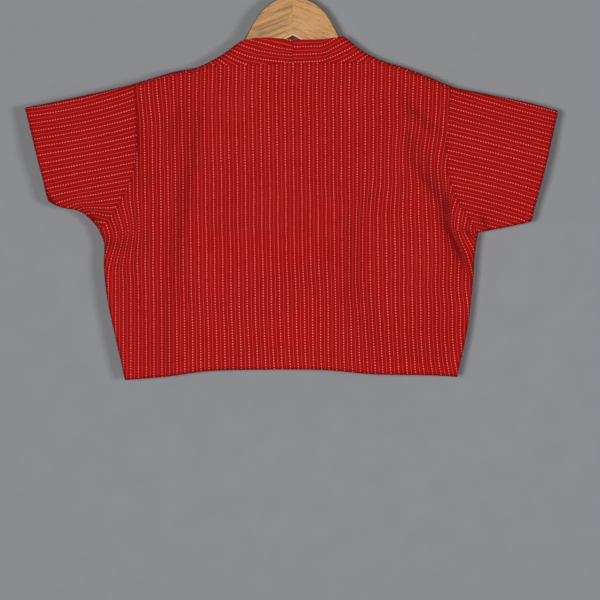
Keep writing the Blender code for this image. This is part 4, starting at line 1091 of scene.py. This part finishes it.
def make_hook(name):
    """The wire hook: a circle swept along a stem, a bend and a round crown inside of which is the origin."""
    ring = HOOK_INSIDE + WIRE_RADIUS
    centre = -HOOK_INSIDE
    drop = math.sqrt((ring + HOOK_BEND) ** 2 - HOOK_BEND ** 2)
    bend_z = centre - drop
    meet = math.atan2(-drop, HOOK_BEND)
    stem = np.linspace(-HOOK_RISE - STEM_IN_WOOD, bend_z, STEM_RINGS)
    bend = np.linspace(math.pi, meet + math.pi, BEND_RINGS)[1:]
    crown = np.linspace(meet, math.radians(HOOK_END_ANGLE), CROWN_RINGS)[1:]
    route = np.vstack([
        np.stack([np.zeros_like(stem), stem], axis=1),
        np.stack([HOOK_BEND + HOOK_BEND * np.cos(bend), bend_z + HOOK_BEND * np.sin(bend)], axis=1),
        np.stack([ring * np.cos(crown), centre + ring * np.sin(crown)], axis=1)])
    left = left_normals(route)
    along = lengths_along(route)
    into_end = np.clip(1 - (along[-1] - along) / WIRE_END_ROUND, 0, 1)
    radius = WIRE_RADIUS * np.sqrt(1 - into_end ** 2)
    angle = np.linspace(0, 2 * math.pi, WIRE_SIDES, endpoint=False)
    side = radius[:, None] * np.cos(angle)
    rings = np.stack([route[:, :1] + side * left[:, :1], radius[:, None] * np.sin(angle),
                      route[:, 1:] + side * left[:, 1:] - NECK_SEAM_Z], axis=2)
    return tube(name, rings)


# ---- materials: lengths are in metres, and pairs are where a mask is whole and where it ends -------------

WANDER_SCALE = 90.0
LINE_WANDER = 0.0010  # the woven lines wander over this width
DASH_HALF_WIDTH = (0.00034, 0.00070)
DASH_HALF_LENGTH = (0.17, 0.31)  # in shares of the way from one dash to the next
DASH_STARTS = 5.0  # the dotted lines' first dashes are shifted by up to this many dashes
DASH_STRAY_SCALE = 60.0
DASH_STRAY = 0.7  # and along a line by up to this share of one
PATCH_SCALE = 34.0  # the lines are fainter and stronger in patches
PLAIN_HALF_WIDTH = (0.00006, 0.00050)
SLUB_SCALES = (480.0, 45.0, 1.0)  # uneven threads of the plain lines, across and along
SUNK_PLACE = 0.0013  # the sunk lines lie this far to both sides of the pale ones
SUNK_HALF_WIDTH = (0.00015, 0.0006)
CREASE_HIDES = (0.8, 1.4)  # painted shade: creases as sharp as this begin to hide the lines in their painted shade, and hide them
CREASE_RANGE = (-0.2, 1.4)  # and these dim the cloth the least and the most; below 0 the painted shade turns to painted light on raised folds
WARP_SCALES = (2600.0, 160.0, 1.0)
WEFT_SCALES = (160.0, 2200.0, 1.0)
FADED_SCALE = 7.0
EDGE_SHADE = (0.0002, 0.0042)  # painted shade near a finished edge: distances from the edge
STITCH_INSET = 0.0013  # a hem's stitches lie this far inside its turning's end
STITCH_HALF_WIDTH = (0.0002, 0.0005)
STITCH_PITCH = 0.0028
STITCH_HALF_LENGTH = (0.34, 0.44)  # in shares of the pitch
LOT_STRENGTH = (0.7, 0.68)  # a scale and a start, as for the other strengths and the roughnesses
PATCH_ON_DASHES = (0.5, 0.8)
PATCH_ON_PLAIN = (0.5, 0.65)
SLUBS_ON_PLAIN = (1.3, 0.35)
SUNK_BY_PLAIN = 0.8  # the sunk lines beside the plain lines, next to those beside the dotted ones
WARP_SHARE = 0.6  # the warp's share of the weave, where the weft has the rest
FADED_FROM = 0.35  # the noise above which the cloth is a little faded
SUNK_TINT = 0.55  # how much of its colour each mark of the cotton brings
FADED_TINT = 0.35
STITCH_TINT = 0.35
CREASE_DIMS = -0.31  # painted shade: a crease of sharpness 1 takes this share of the cotton's colour away
EDGE_DIMS = -0.42  # painted shade: and a finished edge takes this
COTTON_ROUGHNESS = (-0.12, 0.92)
COTTON_RELIEF = 0.00035  # height of the finest relief, as below for the wood and the wire

GRAIN_RISE = 22.0  # degrees by which the grain rises towards the joint
GRAIN_PLACE = (0.39, 0.1)  # which part of the endless grain shows, across and through
STREAK_SCALES = (16.0, 60.0, 260.0)
LINE_SCALES = (34.0, 90.0, 700.0)
FIBRE_SCALES = (60.0, 500.0, 1500.0)
PORE_SCALES = (130.0, 900.0, 2600.0)
BROAD_SCALE = 26.0
STREAK_SHARE = 0.75  # how much the streaks and the broad noise each add to the grain's figure
BROAD_SHARE = 0.35
GRAIN_RANGE = (0.375, 0.615)  # figures between which the grain goes from dark to pale
GRAIN_SHIFT = 0.01  # both are lower by this on the right arm, which is paler, and higher on the left one
LINE_RANGE = (0.37, 0.49)
PORE_RANGE = (0.27, 0.34)
SHADED_RIM = (0.00572, 0.00598)  # painted shade: the rounded edges, nearer the hanger's middle plane than this, are painted dark
SHADED_RIM_WIDER = 0.00009  # the painted shade goes this much further on the right arm, and less far on the left one
NOTCH_HALF_WIDTH = (0.014, 0.020)  # from the joint
NOTCH_HEIGHT = (-0.103, -0.098)  # the notch lies below this
NOTCH_SHADE = (0.0034, 0.0040)  # painted shade: its inside, nearer the middle plane than this, is painted dark
FIBRE_TINT = 0.35  # how much of its colour each mark of the wood brings
LINE_TINT = 0.95
PORE_TINT = 0.55
# how much of its colour the rim's painted shade brings
RIM_SHADE_TINT = 0.9
WOOD_ROUGHNESS = (0.25, 0.38)
WOOD_RELIEF = 0.00012

WIRE_PATCH_SCALE = 180.0
WIRE_DRAWN_SCALES = (900.0, 900.0, 260.0)
WIRE_ROUGHNESS = (0.22, 0.16)
WIRE_RELIEF = 0.00003
WALL_MOTTLE = 0.05  # the studio's paint is darker and paler by this share


class Graph:
    """A material's nodes, with short ways to add them."""

    def __init__(self, name):
        self.material = bpy.data.materials.new(name)
        self.material.use_nodes = True
        self.tree = self.material.node_tree
        self.shader = self.tree.nodes["Principled BSDF"]

    def node(self, kind, **values):
        """A node with its settings, where a socket's name maps to a value or another socket."""
        made = self.tree.nodes.new(kind)
        sockets = values.pop("sockets", {})
        for key, value in values.items():
            setattr(made, key, value)
        for key, value in sockets.items():
            self.put(made.inputs[key], value)
        return made

    def put(self, socket, value):
        """Link or set a socket."""
        if isinstance(value, bpy.types.NodeSocket):
            self.tree.links.new(value, socket)
        else:
            socket.default_value = value

    def place(self):
        """The place in the object's own coordinates."""
        return self.node("ShaderNodeTexCoord").outputs["Object"]

    def uv(self, name):
        """The place on a UV map."""
        return self.node("ShaderNodeUVMap", uv_map=name).outputs[0]

    def axes(self, vector):
        """The three parts of a place."""
        return self.node("ShaderNodeSeparateXYZ", sockets={0: vector}).outputs

    def math(self, operation, *values):
        """A Math node's output for the given values."""
        return self.node("ShaderNodeMath", operation=operation, sockets=dict(enumerate(values))).outputs[0]

    def product(self, first, *others):
        """Values multiplied one after the other."""
        for other in others:
            first = self.math("MULTIPLY", first, other)
        return first

    def scaled(self, value, scale, start):
        """A value times a scale, plus a start."""
        return self.math("MULTIPLY_ADD", value, scale, start)

    def apart(self, value, place):
        """How far a value is from a place, to either side."""
        return self.math("ABSOLUTE", self.math("SUBTRACT", value, place))

    def band(self, distance, inside, outside, within=1.0, beyond=0.0):
        """1 where a distance is under inside, eased to 0 at outside, or two other values."""
        sockets = dict(enumerate((distance, inside, outside, within, beyond)))
        return self.node("ShaderNodeMapRange", interpolation_type="SMOOTHSTEP", sockets=sockets).outputs[0]

    def mix(self, factor, first, second, blend="MIX"):
        """A colour mix of two colours."""
        made = self.node("ShaderNodeMix", data_type="RGBA", blend_type=blend, sockets={0: factor})
        for place, colour in ((6, first), (7, second)):
            linked = isinstance(colour, bpy.types.NodeSocket)
            self.put(made.inputs[place], colour if linked else (*colour, 1.0))
        return made.outputs[2]

    def coats(self, colour, *coats):
        """A colour with others laid over it one after the other, each through its mask."""
        for mask, paint in coats:
            colour = self.mix(mask, colour, paint)
        return colour

    def noise(self, vector, scale, detail, roughness=0.5):
        """A Noise Texture's factor."""
        sockets = {"Vector": vector, "Scale": scale, "Detail": detail, "Roughness": roughness}
        return self.node("ShaderNodeTexNoise", sockets=sockets).outputs["Fac"]

    def drawn_out(self, vector, scales, detail, roughness=0.5):
        """A noise with its own scale along each axis."""
        place = self.node("ShaderNodeMapping", sockets={"Vector": vector, "Scale": scales}).outputs[0]
        return self.noise(place, 1.0, detail, roughness)

    def bump(self, height, distance, strength):
        """Links a height, in shares of a distance in metres, to the shader's normal."""
        sockets = {"Height": height, "Distance": distance, "Strength": strength}
        self.put(self.shader.inputs["Normal"], self.node("ShaderNodeBump", sockets=sockets).outputs[0])


def woven_lines(g, flat, painted_shade, settings):
    """Masks of the dashes, their strength, the plain lines halfway between, and the sunk lines beside both.

    The distance from the nearest dotted line is the place across, in repeats, less its nearest whole number.
    Along a dotted line each pitch holds one dash, whose strength is drawn by lot.
    """
    across, along, _ = g.axes(flat)
    wander = g.product(g.math("SUBTRACT", g.noise(flat, WANDER_SCALE, detail=2.0), 0.5), LINE_WANDER)
    number = g.math("DIVIDE", g.math("ADD", across, wander), settings.stripe_repeat)
    to_dots = g.product(g.math("ABSOLUTE", g.math("WRAP", number, 0.5, -0.5)), settings.stripe_repeat)
    to_plain = g.math("SUBTRACT", settings.stripe_repeat / 2, to_dots)
    line_number = g.math("ROUND", number)

    first = g.node("ShaderNodeTexWhiteNoise", noise_dimensions="1D", sockets={"W": line_number}).outputs[0]
    run = g.math("ADD", g.math("DIVIDE", along, settings.dash_pitch), g.product(first, DASH_STARTS))
    run = g.math("ADD", run, g.product(g.noise(flat, DASH_STRAY_SCALE, detail=1.0), DASH_STRAY))
    cell = g.math("FLOOR", run)
    from_middle = g.apart(g.math("SUBTRACT", run, cell), 0.5)
    which = g.node("ShaderNodeCombineXYZ", sockets={0: line_number, 1: cell}).outputs[0]
    lot = g.node("ShaderNodeTexWhiteNoise", noise_dimensions="2D", sockets={"Vector": which}).outputs[0]

    patches = g.noise(flat, PATCH_SCALE, detail=2.0)
    # painted shade: the lines fade out in the painted shade of sharp creases
    in_sight = g.band(painted_shade, *CREASE_HIDES)
    dash = g.product(g.band(to_dots, *DASH_HALF_WIDTH), g.band(from_middle, *DASH_HALF_LENGTH))
    strength = g.product(g.scaled(lot, *LOT_STRENGTH), g.scaled(patches, *PATCH_ON_DASHES), in_sight)
    slubs = g.drawn_out(flat, SLUB_SCALES, detail=2.0)
    plain = g.product(g.band(to_plain, *PLAIN_HALF_WIDTH), g.scaled(patches, *PATCH_ON_PLAIN),
                      g.scaled(slubs, *SLUBS_ON_PLAIN), in_sight)
    by_dots, by_plain = (g.band(g.apart(gap, SUNK_PLACE), *SUNK_HALF_WIDTH) for gap in (to_dots, to_plain))
    return dash, strength, plain, g.math("ADD", by_dots, g.product(by_plain, SUNK_BY_PLAIN))


def cotton_material(name, settings, turned_depth):
    """Red cotton: dotted and plain pale lines in turn, a fine weave, and its hem's stitches, with painted
    shade in its creases, at its seams and edges, and painted light on its raised folds and turned hem.
    """
    g = Graph(name)
    flat = g.uv("cloth")
    painted_shade = g.node("ShaderNodeAttribute", attribute_name="painted_shade").outputs["Fac"]
    dash, strength, plain, sunk = woven_lines(g, flat, painted_shade, settings)
    warp, weft = (g.drawn_out(flat, scales, detail=1.0) for scales in (WARP_SCALES, WEFT_SCALES))
    weave = g.math("ADD", g.product(warp, WARP_SHARE), g.product(weft, 1 - WARP_SHARE))
    faded = g.math("SUBTRACT", g.noise(g.place(), FADED_SCALE, detail=3.0), FADED_FROM)
    from_edge, along_edge, _ = g.axes(g.uv("edge"))
    row = g.band(g.apart(from_edge, turned_depth - STITCH_INSET), *STITCH_HALF_WIDTH)
    stitch = g.math("PINGPONG", g.math("DIVIDE", along_edge, STITCH_PITCH), 0.5)
    thread = g.product(row, g.band(stitch, *STITCH_HALF_LENGTH))

    colour = g.coats(
        g.mix(weave, settings.ground_dark, settings.ground),
        (g.product(sunk, SUNK_TINT), settings.ground_dark),
        (g.product(faded, FADED_TINT), settings.ground_light),
        (plain, settings.line),
        (g.product(dash, strength), settings.dash),
        (g.product(row, STITCH_TINT), settings.ground_dark))
    # painted shade in creases, at seams and along edges, and painted light on raised folds and the hem,
    # multiplied into the colour
    least, most = CREASE_RANGE
    creased = g.math("MAXIMUM", g.math("MINIMUM", painted_shade, most), least)
    # painted shade along a finished edge
    by_edge = g.band(from_edge, *EDGE_SHADE)
    dimmed = g.product(g.scaled(creased, CREASE_DIMS, 1.0), g.scaled(by_edge, EDGE_DIMS, 1.0))
    g.put(g.shader.inputs["Base Color"], g.mix(1.0, colour, dimmed, "MULTIPLY"))
    g.put(g.shader.inputs["Roughness"], g.scaled(weave, *COTTON_ROUGHNESS))
    g.shader.inputs["Specular IOR Level"].default_value = 0.06
    g.shader.inputs["Sheen Weight"].default_value = 0.02
    g.shader.inputs["Sheen Roughness"].default_value = 0.45
    g.shader.inputs["Sheen Tint"].default_value = (1.0, 0.45, 0.4, 1.0)

    height = g.product(dash, 0.7)
    for mask, rise in ((plain, 0.55), (sunk, -0.5), (weave, 0.35), (row, -0.9), (thread, 0.8)):
        height = g.scaled(mask, rise, height)
    g.bump(height, COTTON_RELIEF, strength=0.8)
    return g.material


def wood_material(name, settings, sign):
    """Pale wood: grain that rises towards the joint, drawn out streaks, pores, and painted shade on the
    rounded rim.

    At the joint's foot is a notch with a painted highlight along its rim and painted shade inside.
    """
    g = Graph(name)
    place = g.place()
    along = g.node("ShaderNodeMapping", sockets={
        "Vector": place,
        "Rotation": (0.0, -sign * math.radians(GRAIN_RISE), 0.0),
        "Location": (GRAIN_PLACE[0] * sign, GRAIN_PLACE[1], 0.0),
    }).outputs[0]
    streak = g.drawn_out(along, STREAK_SCALES, detail=5.0, roughness=0.7)
    fine_line = g.band(g.drawn_out(along, LINE_SCALES, detail=2.0, roughness=0.6), *LINE_RANGE)
    fibre = g.drawn_out(along, FIBRE_SCALES, detail=3.0, roughness=0.6)
    pore = g.band(g.drawn_out(along, PORE_SCALES, detail=0.0), *PORE_RANGE)
    broad = g.noise(along, BROAD_SCALE, detail=2.0)
    figure = g.math("ADD", g.product(streak, STREAK_SHARE), g.product(broad, BROAD_SHARE))
    dark_figure, pale_figure = (value - GRAIN_SHIFT * sign for value in GRAIN_RANGE)
    pale = g.band(figure, dark_figure, pale_figure, 0.0, 1.0)

    across, through, height = g.axes(place)
    # mask of the painted shade on the rounded rim
    depth = g.math("ABSOLUTE", through)
    rim = g.band(depth, SHADED_RIM[0] + SHADED_RIM_WIDER * sign, SHADED_RIM[1])
    notch = g.product(g.band(g.math("ABSOLUTE", across), *NOTCH_HALF_WIDTH), g.band(height, *NOTCH_HEIGHT))
    colour = g.coats(
        g.mix(pale, settings.wood_dark, settings.wood),
        (g.product(fibre, FIBRE_TINT), settings.wood_light),
        (g.product(fine_line, g.math("SUBTRACT", LINE_TINT, pale)), settings.wood_dark),
        (g.product(pore, PORE_TINT), settings.wood_dark),
        # painted shade on the rounded rim, away from the notch
        (g.product(rim, g.scaled(notch, -RIM_SHADE_TINT, RIM_SHADE_TINT)), settings.wood_shade),
        # painted highlight along the notch's rim
        (g.product(rim, notch), settings.wood_highlight),
        # painted shade inside the notch
        (g.product(notch, g.band(depth, *NOTCH_SHADE)), settings.wood_shade))
    g.put(g.shader.inputs["Base Color"], colour)
    g.put(g.shader.inputs["Roughness"], g.scaled(fibre, *WOOD_ROUGHNESS))
    g.shader.inputs["Specular IOR Level"].default_value = 0.25
    g.bump(g.math("SUBTRACT", g.product(fibre, 0.5), pore), WOOD_RELIEF, strength=0.6)
    return g.material


def wire_material(name, settings):
    """Plated wire: bright metal with fine marks from drawing and faint dull patches."""
    g = Graph(name)
    place = g.place()
    dull = g.noise(place, WIRE_PATCH_SCALE, detail=3.0)
    g.put(g.shader.inputs["Base Color"], g.mix(dull, settings.wire_dull, settings.wire))
    g.shader.inputs["Metallic"].default_value = 1.0
    g.put(g.shader.inputs["Roughness"], g.scaled(dull, *WIRE_ROUGHNESS))
    g.bump(g.drawn_out(place, WIRE_DRAWN_SCALES, detail=2.0), WIRE_RELIEF, strength=0.5)
    return g.material


def one_sided_material(name, colour, spot_scale):
    """Painted surface of the studio, seen only from its face so that it never stands in a view's way."""
    g = Graph(name)
    low, high = ([channel * share for channel in colour] for share in (1 - WALL_MOTTLE, 1 + WALL_MOTTLE))
    paint = g.mix(g.noise(g.place(), spot_scale, detail=4.0, roughness=0.6), low, high)
    painted = g.node("ShaderNodeBsdfDiffuse", sockets={"Color": paint, "Roughness": 0.4})
    clear = g.node("ShaderNodeBsdfTransparent")
    seen = g.node("ShaderNodeLightPath").outputs["Is Camera Ray"]
    front = g.math("SUBTRACT", 1.0, g.node("ShaderNodeNewGeometry").outputs["Backfacing"])
    choice = g.node("ShaderNodeMixShader", sockets={
        0: g.product(seen, front), 1: clear.outputs[0], 2: painted.outputs[0]})
    output = next(node for node in g.tree.nodes if node.type == "OUTPUT_MATERIAL")
    g.put(output.inputs["Surface"], choice.outputs[0])
    g.tree.nodes.remove(g.shader)
    return g.material


# ---- settings ------------------------------------------------------------------------------------------

def colour_property(name, description, default):
    """A colour of the panel."""
    return bpy.props.FloatVectorProperty(name=name, description=description, default=default, size=3,
                                         min=0.0, max=1.0, subtype="COLOR")


def length_property(name, description, default):
    """A length of the panel, in metres."""
    return bpy.props.FloatProperty(name=name, description=description, default=default, min=0.0,
                                   unit="LENGTH", precision=5)


class CholiClothSettings(bpy.types.PropertyGroup):
    """Sizes and colours of the cotton."""

    thickness: length_property("Thickness", "Thickness of the single cloth", 0.0007)
    spacing: length_property("Mesh spacing", "Distance between the points of the cloth's mesh", 0.0024)
    hem_depth: length_property("Hem depth", "Depth of the body's turned hem", HEM_DEPTH * MM)
    cuff_depth: length_property("Cuff depth", "Depth of the sleeves' turned hem", CUFF_DEPTH * MM)
    stripe_repeat: length_property("Line repeat", "From one dotted line to the next", REPEAT * MM)
    dash_pitch: length_property("Dash pitch", "From one dash to the next along a dotted line", 0.00323)
    ground: colour_property("Ground", "Colour of the red ground", (0.345, 0.0042, 0.0039))
    ground_dark: colour_property("Dark ground", "Red in the weave's sunk lines", (0.265, 0.0018, 0.0017))
    ground_light: colour_property("Faded ground", "Red where the cloth is faded", (0.43, 0.010, 0.009))
    line: colour_property("Plain line", "Colour of the plain pale lines", (0.72, 0.056, 0.052))
    dash: colour_property("Dashes", "Colour of the dotted lines' dashes", (1.0, 0.165, 0.155))


class CholiHangerSettings(bpy.types.PropertyGroup):
    """Colours of the hanger and its hook."""

    wood: colour_property("Wood", "Main colour of the wood", (0.515, 0.255, 0.092))
    wood_light: colour_property("Light fibres", "Colour of the palest fibres", (0.66, 0.365, 0.14))
    wood_dark: colour_property("Dark grain", "Colour of the dark streaks and pores", (0.20, 0.105, 0.043))
    # colour of the painted highlight along the notch's rim
    wood_highlight: colour_property("Notch highlight", "Colour of the pale edges of the notch", (0.80, 0.52, 0.30))
    # colour of the painted shade on the rounded edges and inside the notch
    wood_shade: colour_property("Edge shade", "Colour of the rounded edges", (0.115, 0.068, 0.036))
    wire: colour_property("Wire", "Colour of the plated wire", (0.78, 0.78, 0.79))
    wire_dull: colour_property("Dull wire", "Colour of its duller patches", (0.55, 0.55, 0.56))


class CholiStageSettings(bpy.types.PropertyGroup):
    """Sizes and colours of the studio."""

    wall: colour_property("Wall", "Colour of the wall behind the hanger", (0.264, 0.276, 0.290))
    floor: colour_property("Floor", "Colour of the pale floor", (0.62, 0.62, 0.61))
    wall_distance: length_property("Wall distance", "From the hanger's middle plane to the wall", 0.034)
    floor_depth: length_property("Floor depth", "From the hook's crown down to the floor", 1.6)
    camera_distance: length_property("Camera distance", "From the camera to the hanger's middle plane", 2.4)
    view_width: length_property("View width", "Width that the camera sees at the hanger", 0.7335)
    look_at: bpy.props.FloatVectorProperty(
        name="Look at", description="Place in the hanger's plane, across and up", default=(0.0089, -0.4301),
        size=2, unit="LENGTH", precision=5)


def settings_of(context):
    """The cloth's, the hanger's and the stage's settings."""
    return context.scene.choli_cloth, context.scene.choli_hanger, context.scene.choli_stage


def cotton(part, settings, turned_depth):
    """The cotton of one part of the blouse, made once and shared by its pieces."""
    name = f"striped_cotton_{part}"
    found = bpy.data.materials.get(name)
    return found if found else cotton_material(name, settings, turned_depth)


def dress(piece, node, material):
    """Gives a piece its material, body and slot, and lets it stand for a solid."""
    piece.data.materials.clear()
    piece.data.materials.append(material)
    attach(piece, "root")
    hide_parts(node)


# ---- operators -----------------------------------------------------------------------------------------

class CHOLI_OT_hanger(bpy.types.Operator):
    """Make the two wooden arms of the hanger"""

    bl_idname = "choli.hanger"
    bl_label = "Hanger arms"

    def execute(self, context):
        _, hanger, _ = settings_of(context)
        for side_name, side in SIDES.items():
            arm = make_arm(f"wood_arm_{side_name}", side_name)
            wood = wood_material(f"wood_{side_name}", hanger, side.sign)
            dress(arm, f"hanger_arm_{side_name}", wood)
        return {"FINISHED"}


class CHOLI_OT_hook(bpy.types.Operator):
    """Make the wire hook"""

    bl_idname = "choli.hook"
    bl_label = "Hook"

    def execute(self, context):
        _, hanger, _ = settings_of(context)
        dress(make_hook("wire_hook"), "hook", wire_material("plated_wire", hanger))
        return {"FINISHED"}


class CHOLI_OT_back(bpy.types.Operator):
    """Make the blouse's back"""

    bl_idname = "choli.back"
    bl_label = "Back"

    def execute(self, context):
        cloth, _, _ = settings_of(context)
        piece = make_back("choli_back", cloth)
        dress(piece, "back", cotton("body", cloth, cloth.hem_depth))
        return {"FINISHED"}


class CHOLI_OT_fronts(bpy.types.Operator):
    """Make both fronts with their halves of the collar"""

    bl_idname = "choli.fronts"
    bl_label = "Fronts"

    def execute(self, context):
        cloth, _, _ = settings_of(context)
        for side_name in SIDES:
            name = f"front_{side_name}"
            piece = make_front(f"choli_{name}", side_name, cloth)
            dress(piece, name, cotton("body", cloth, cloth.hem_depth))
        return {"FINISHED"}


class CHOLI_OT_sleeves(bpy.types.Operator):
    """Make both sleeves"""

    bl_idname = "choli.sleeves"
    bl_label = "Sleeves"

    def execute(self, context):
        cloth, _, _ = settings_of(context)
        for side_name in SIDES:
            name = f"sleeve_{side_name}"
            piece = make_sleeve(f"choli_{name}", side_name, cloth)
            dress(piece, name, cotton("sleeve", cloth, cloth.cuff_depth))
        return {"FINISHED"}


# ---- studio: lengths are in metres, and powers in watts ------------------------------------------------

Light = namedtuple("Light", "name place size power")

LIGHTS = (
    Light("light_right", (1.10, -2.4, -0.50), (0.58, 0.4), 28.0),
    Light("light_left", (-0.52, -2.5, -0.50), (0.45, 0.35), 42.5),
    Light("light_behind", (0.0, 2.9, -0.4), (1.0, 1.0), 50.0),
)
LIT_PLACE = (0.0, 0.0, -0.35)  # the lights point at it
AIR_COLOUR = (0.95, 0.97, 1.0, 1.0)
AIR_STRENGTH = 0.11
STUDIO_REACH = 4.0  # from the middle out to each end of the floor and the wall
WALL_TOP = 2.5
WALL_SPOTS = 30.0  # scales of the paint's mottle
FLOOR_SPOTS = 12.0
FILM_WIDTH = 36.0  # millimetres, of the camera
FAR_CLIP = 20.0


def plane_object(name, first, last, material):
    """A large rectangle between two edges that run across the studio, each given by its Y and Z."""
    reach = STUDIO_REACH
    mesh = bpy.data.meshes.new(name)
    mesh.from_pydata([(-reach, *first), (reach, *first), (reach, *last), (-reach, *last)], [], [(0, 1, 2, 3)])
    mesh.materials.append(material)
    link(name, mesh)


def area_light(light):
    """A soft white rectangular light of a width and a height that points at the blouse."""
    data = bpy.data.lights.new(light.name, "AREA")
    data.shape = "RECTANGLE"
    data.size, data.size_y = light.size
    data.energy = light.power
    made = link(light.name, data)
    made.location = light.place
    made.rotation_euler = (Vector(LIT_PLACE) - Vector(light.place)).to_track_quat("-Z", "Y").to_euler()
    return made


class CHOLI_OT_stage(bpy.types.Operator):
    """Make the wall, the floor, the lights and the camera"""

    bl_idname = "choli.stage"
    bl_label = "Studio"

    def execute(self, context):
        _, _, stage = settings_of(context)
        wall_y, floor_z = stage.wall_distance, -stage.floor_depth
        plane_object("wall", (wall_y, floor_z), (wall_y, WALL_TOP),
                     one_sided_material("wall_paint", stage.wall, WALL_SPOTS))
        plane_object("floor", (-STUDIO_REACH, floor_z), (STUDIO_REACH, floor_z),
                     one_sided_material("floor_paint", stage.floor, FLOOR_SPOTS))
        *_, rear = [area_light(light) for light in LIGHTS]
        rear.visible_glossy = False
        world = bpy.data.worlds.new("studio_air")
        world.use_nodes = True
        world.node_tree.nodes["Background"].inputs[0].default_value = AIR_COLOUR
        world.node_tree.nodes["Background"].inputs[1].default_value = AIR_STRENGTH
        context.scene.world = world
        context.scene.view_settings.view_transform = "Standard"
        context.scene.view_settings.look = "None"
        data = bpy.data.cameras.new("camera")
        data.sensor_width = FILM_WIDTH
        data.lens = FILM_WIDTH * stage.camera_distance / stage.view_width
        data.clip_end = FAR_CLIP
        camera = link("camera", data)
        camera.location = (stage.look_at[0], -stage.camera_distance, stage.look_at[1])
        camera.rotation_euler = (math.pi / 2, 0.0, 0.0)
        context.scene.camera = camera
        return {"FINISHED"}


OPERATORS = (
    CHOLI_OT_hanger, CHOLI_OT_hook, CHOLI_OT_back, CHOLI_OT_fronts, CHOLI_OT_sleeves, CHOLI_OT_stage)


class CHOLI_PT_panel(bpy.types.Panel):
    """Lists the operators and their settings"""

    bl_idname = "CHOLI_PT_panel"
    bl_label = "Choli blouse"
    bl_space_type = "VIEW_3D"
    bl_region_type = "UI"
    bl_category = "Choli"

    def draw(self, context):
        layout = self.layout
        for operator in OPERATORS:
            layout.operator(operator.bl_idname)
        for settings in settings_of(context):
            box = layout.box()
            for name in settings.bl_rna.properties.keys():
                if name not in {"rna_type", "name"}:
                    box.prop(settings, name)


SETTINGS = {
    "choli_cloth": CholiClothSettings,
    "choli_hanger": CholiHangerSettings,
    "choli_stage": CholiStageSettings,
}
CLASSES = (*SETTINGS.values(), *OPERATORS, CHOLI_PT_panel)


def register():
    for cls in CLASSES:
        bpy.utils.register_class(cls)
    for name, cls in SETTINGS.items():
        setattr(bpy.types.Scene, name, bpy.props.PointerProperty(type=cls))


def unregister():
    for name in SETTINGS:
        delattr(bpy.types.Scene, name)
    for cls in reversed(CLASSES):
        bpy.utils.unregister_class(cls)


def main():
    """Makes every piece and the studio."""
    register()
    bpy.ops.choli.hanger()
    bpy.ops.choli.hook()
    bpy.ops.choli.back()
    bpy.ops.choli.fronts()
    bpy.ops.choli.sleeves()
    bpy.ops.choli.stage()


if __name__ == "__main__":
    main()
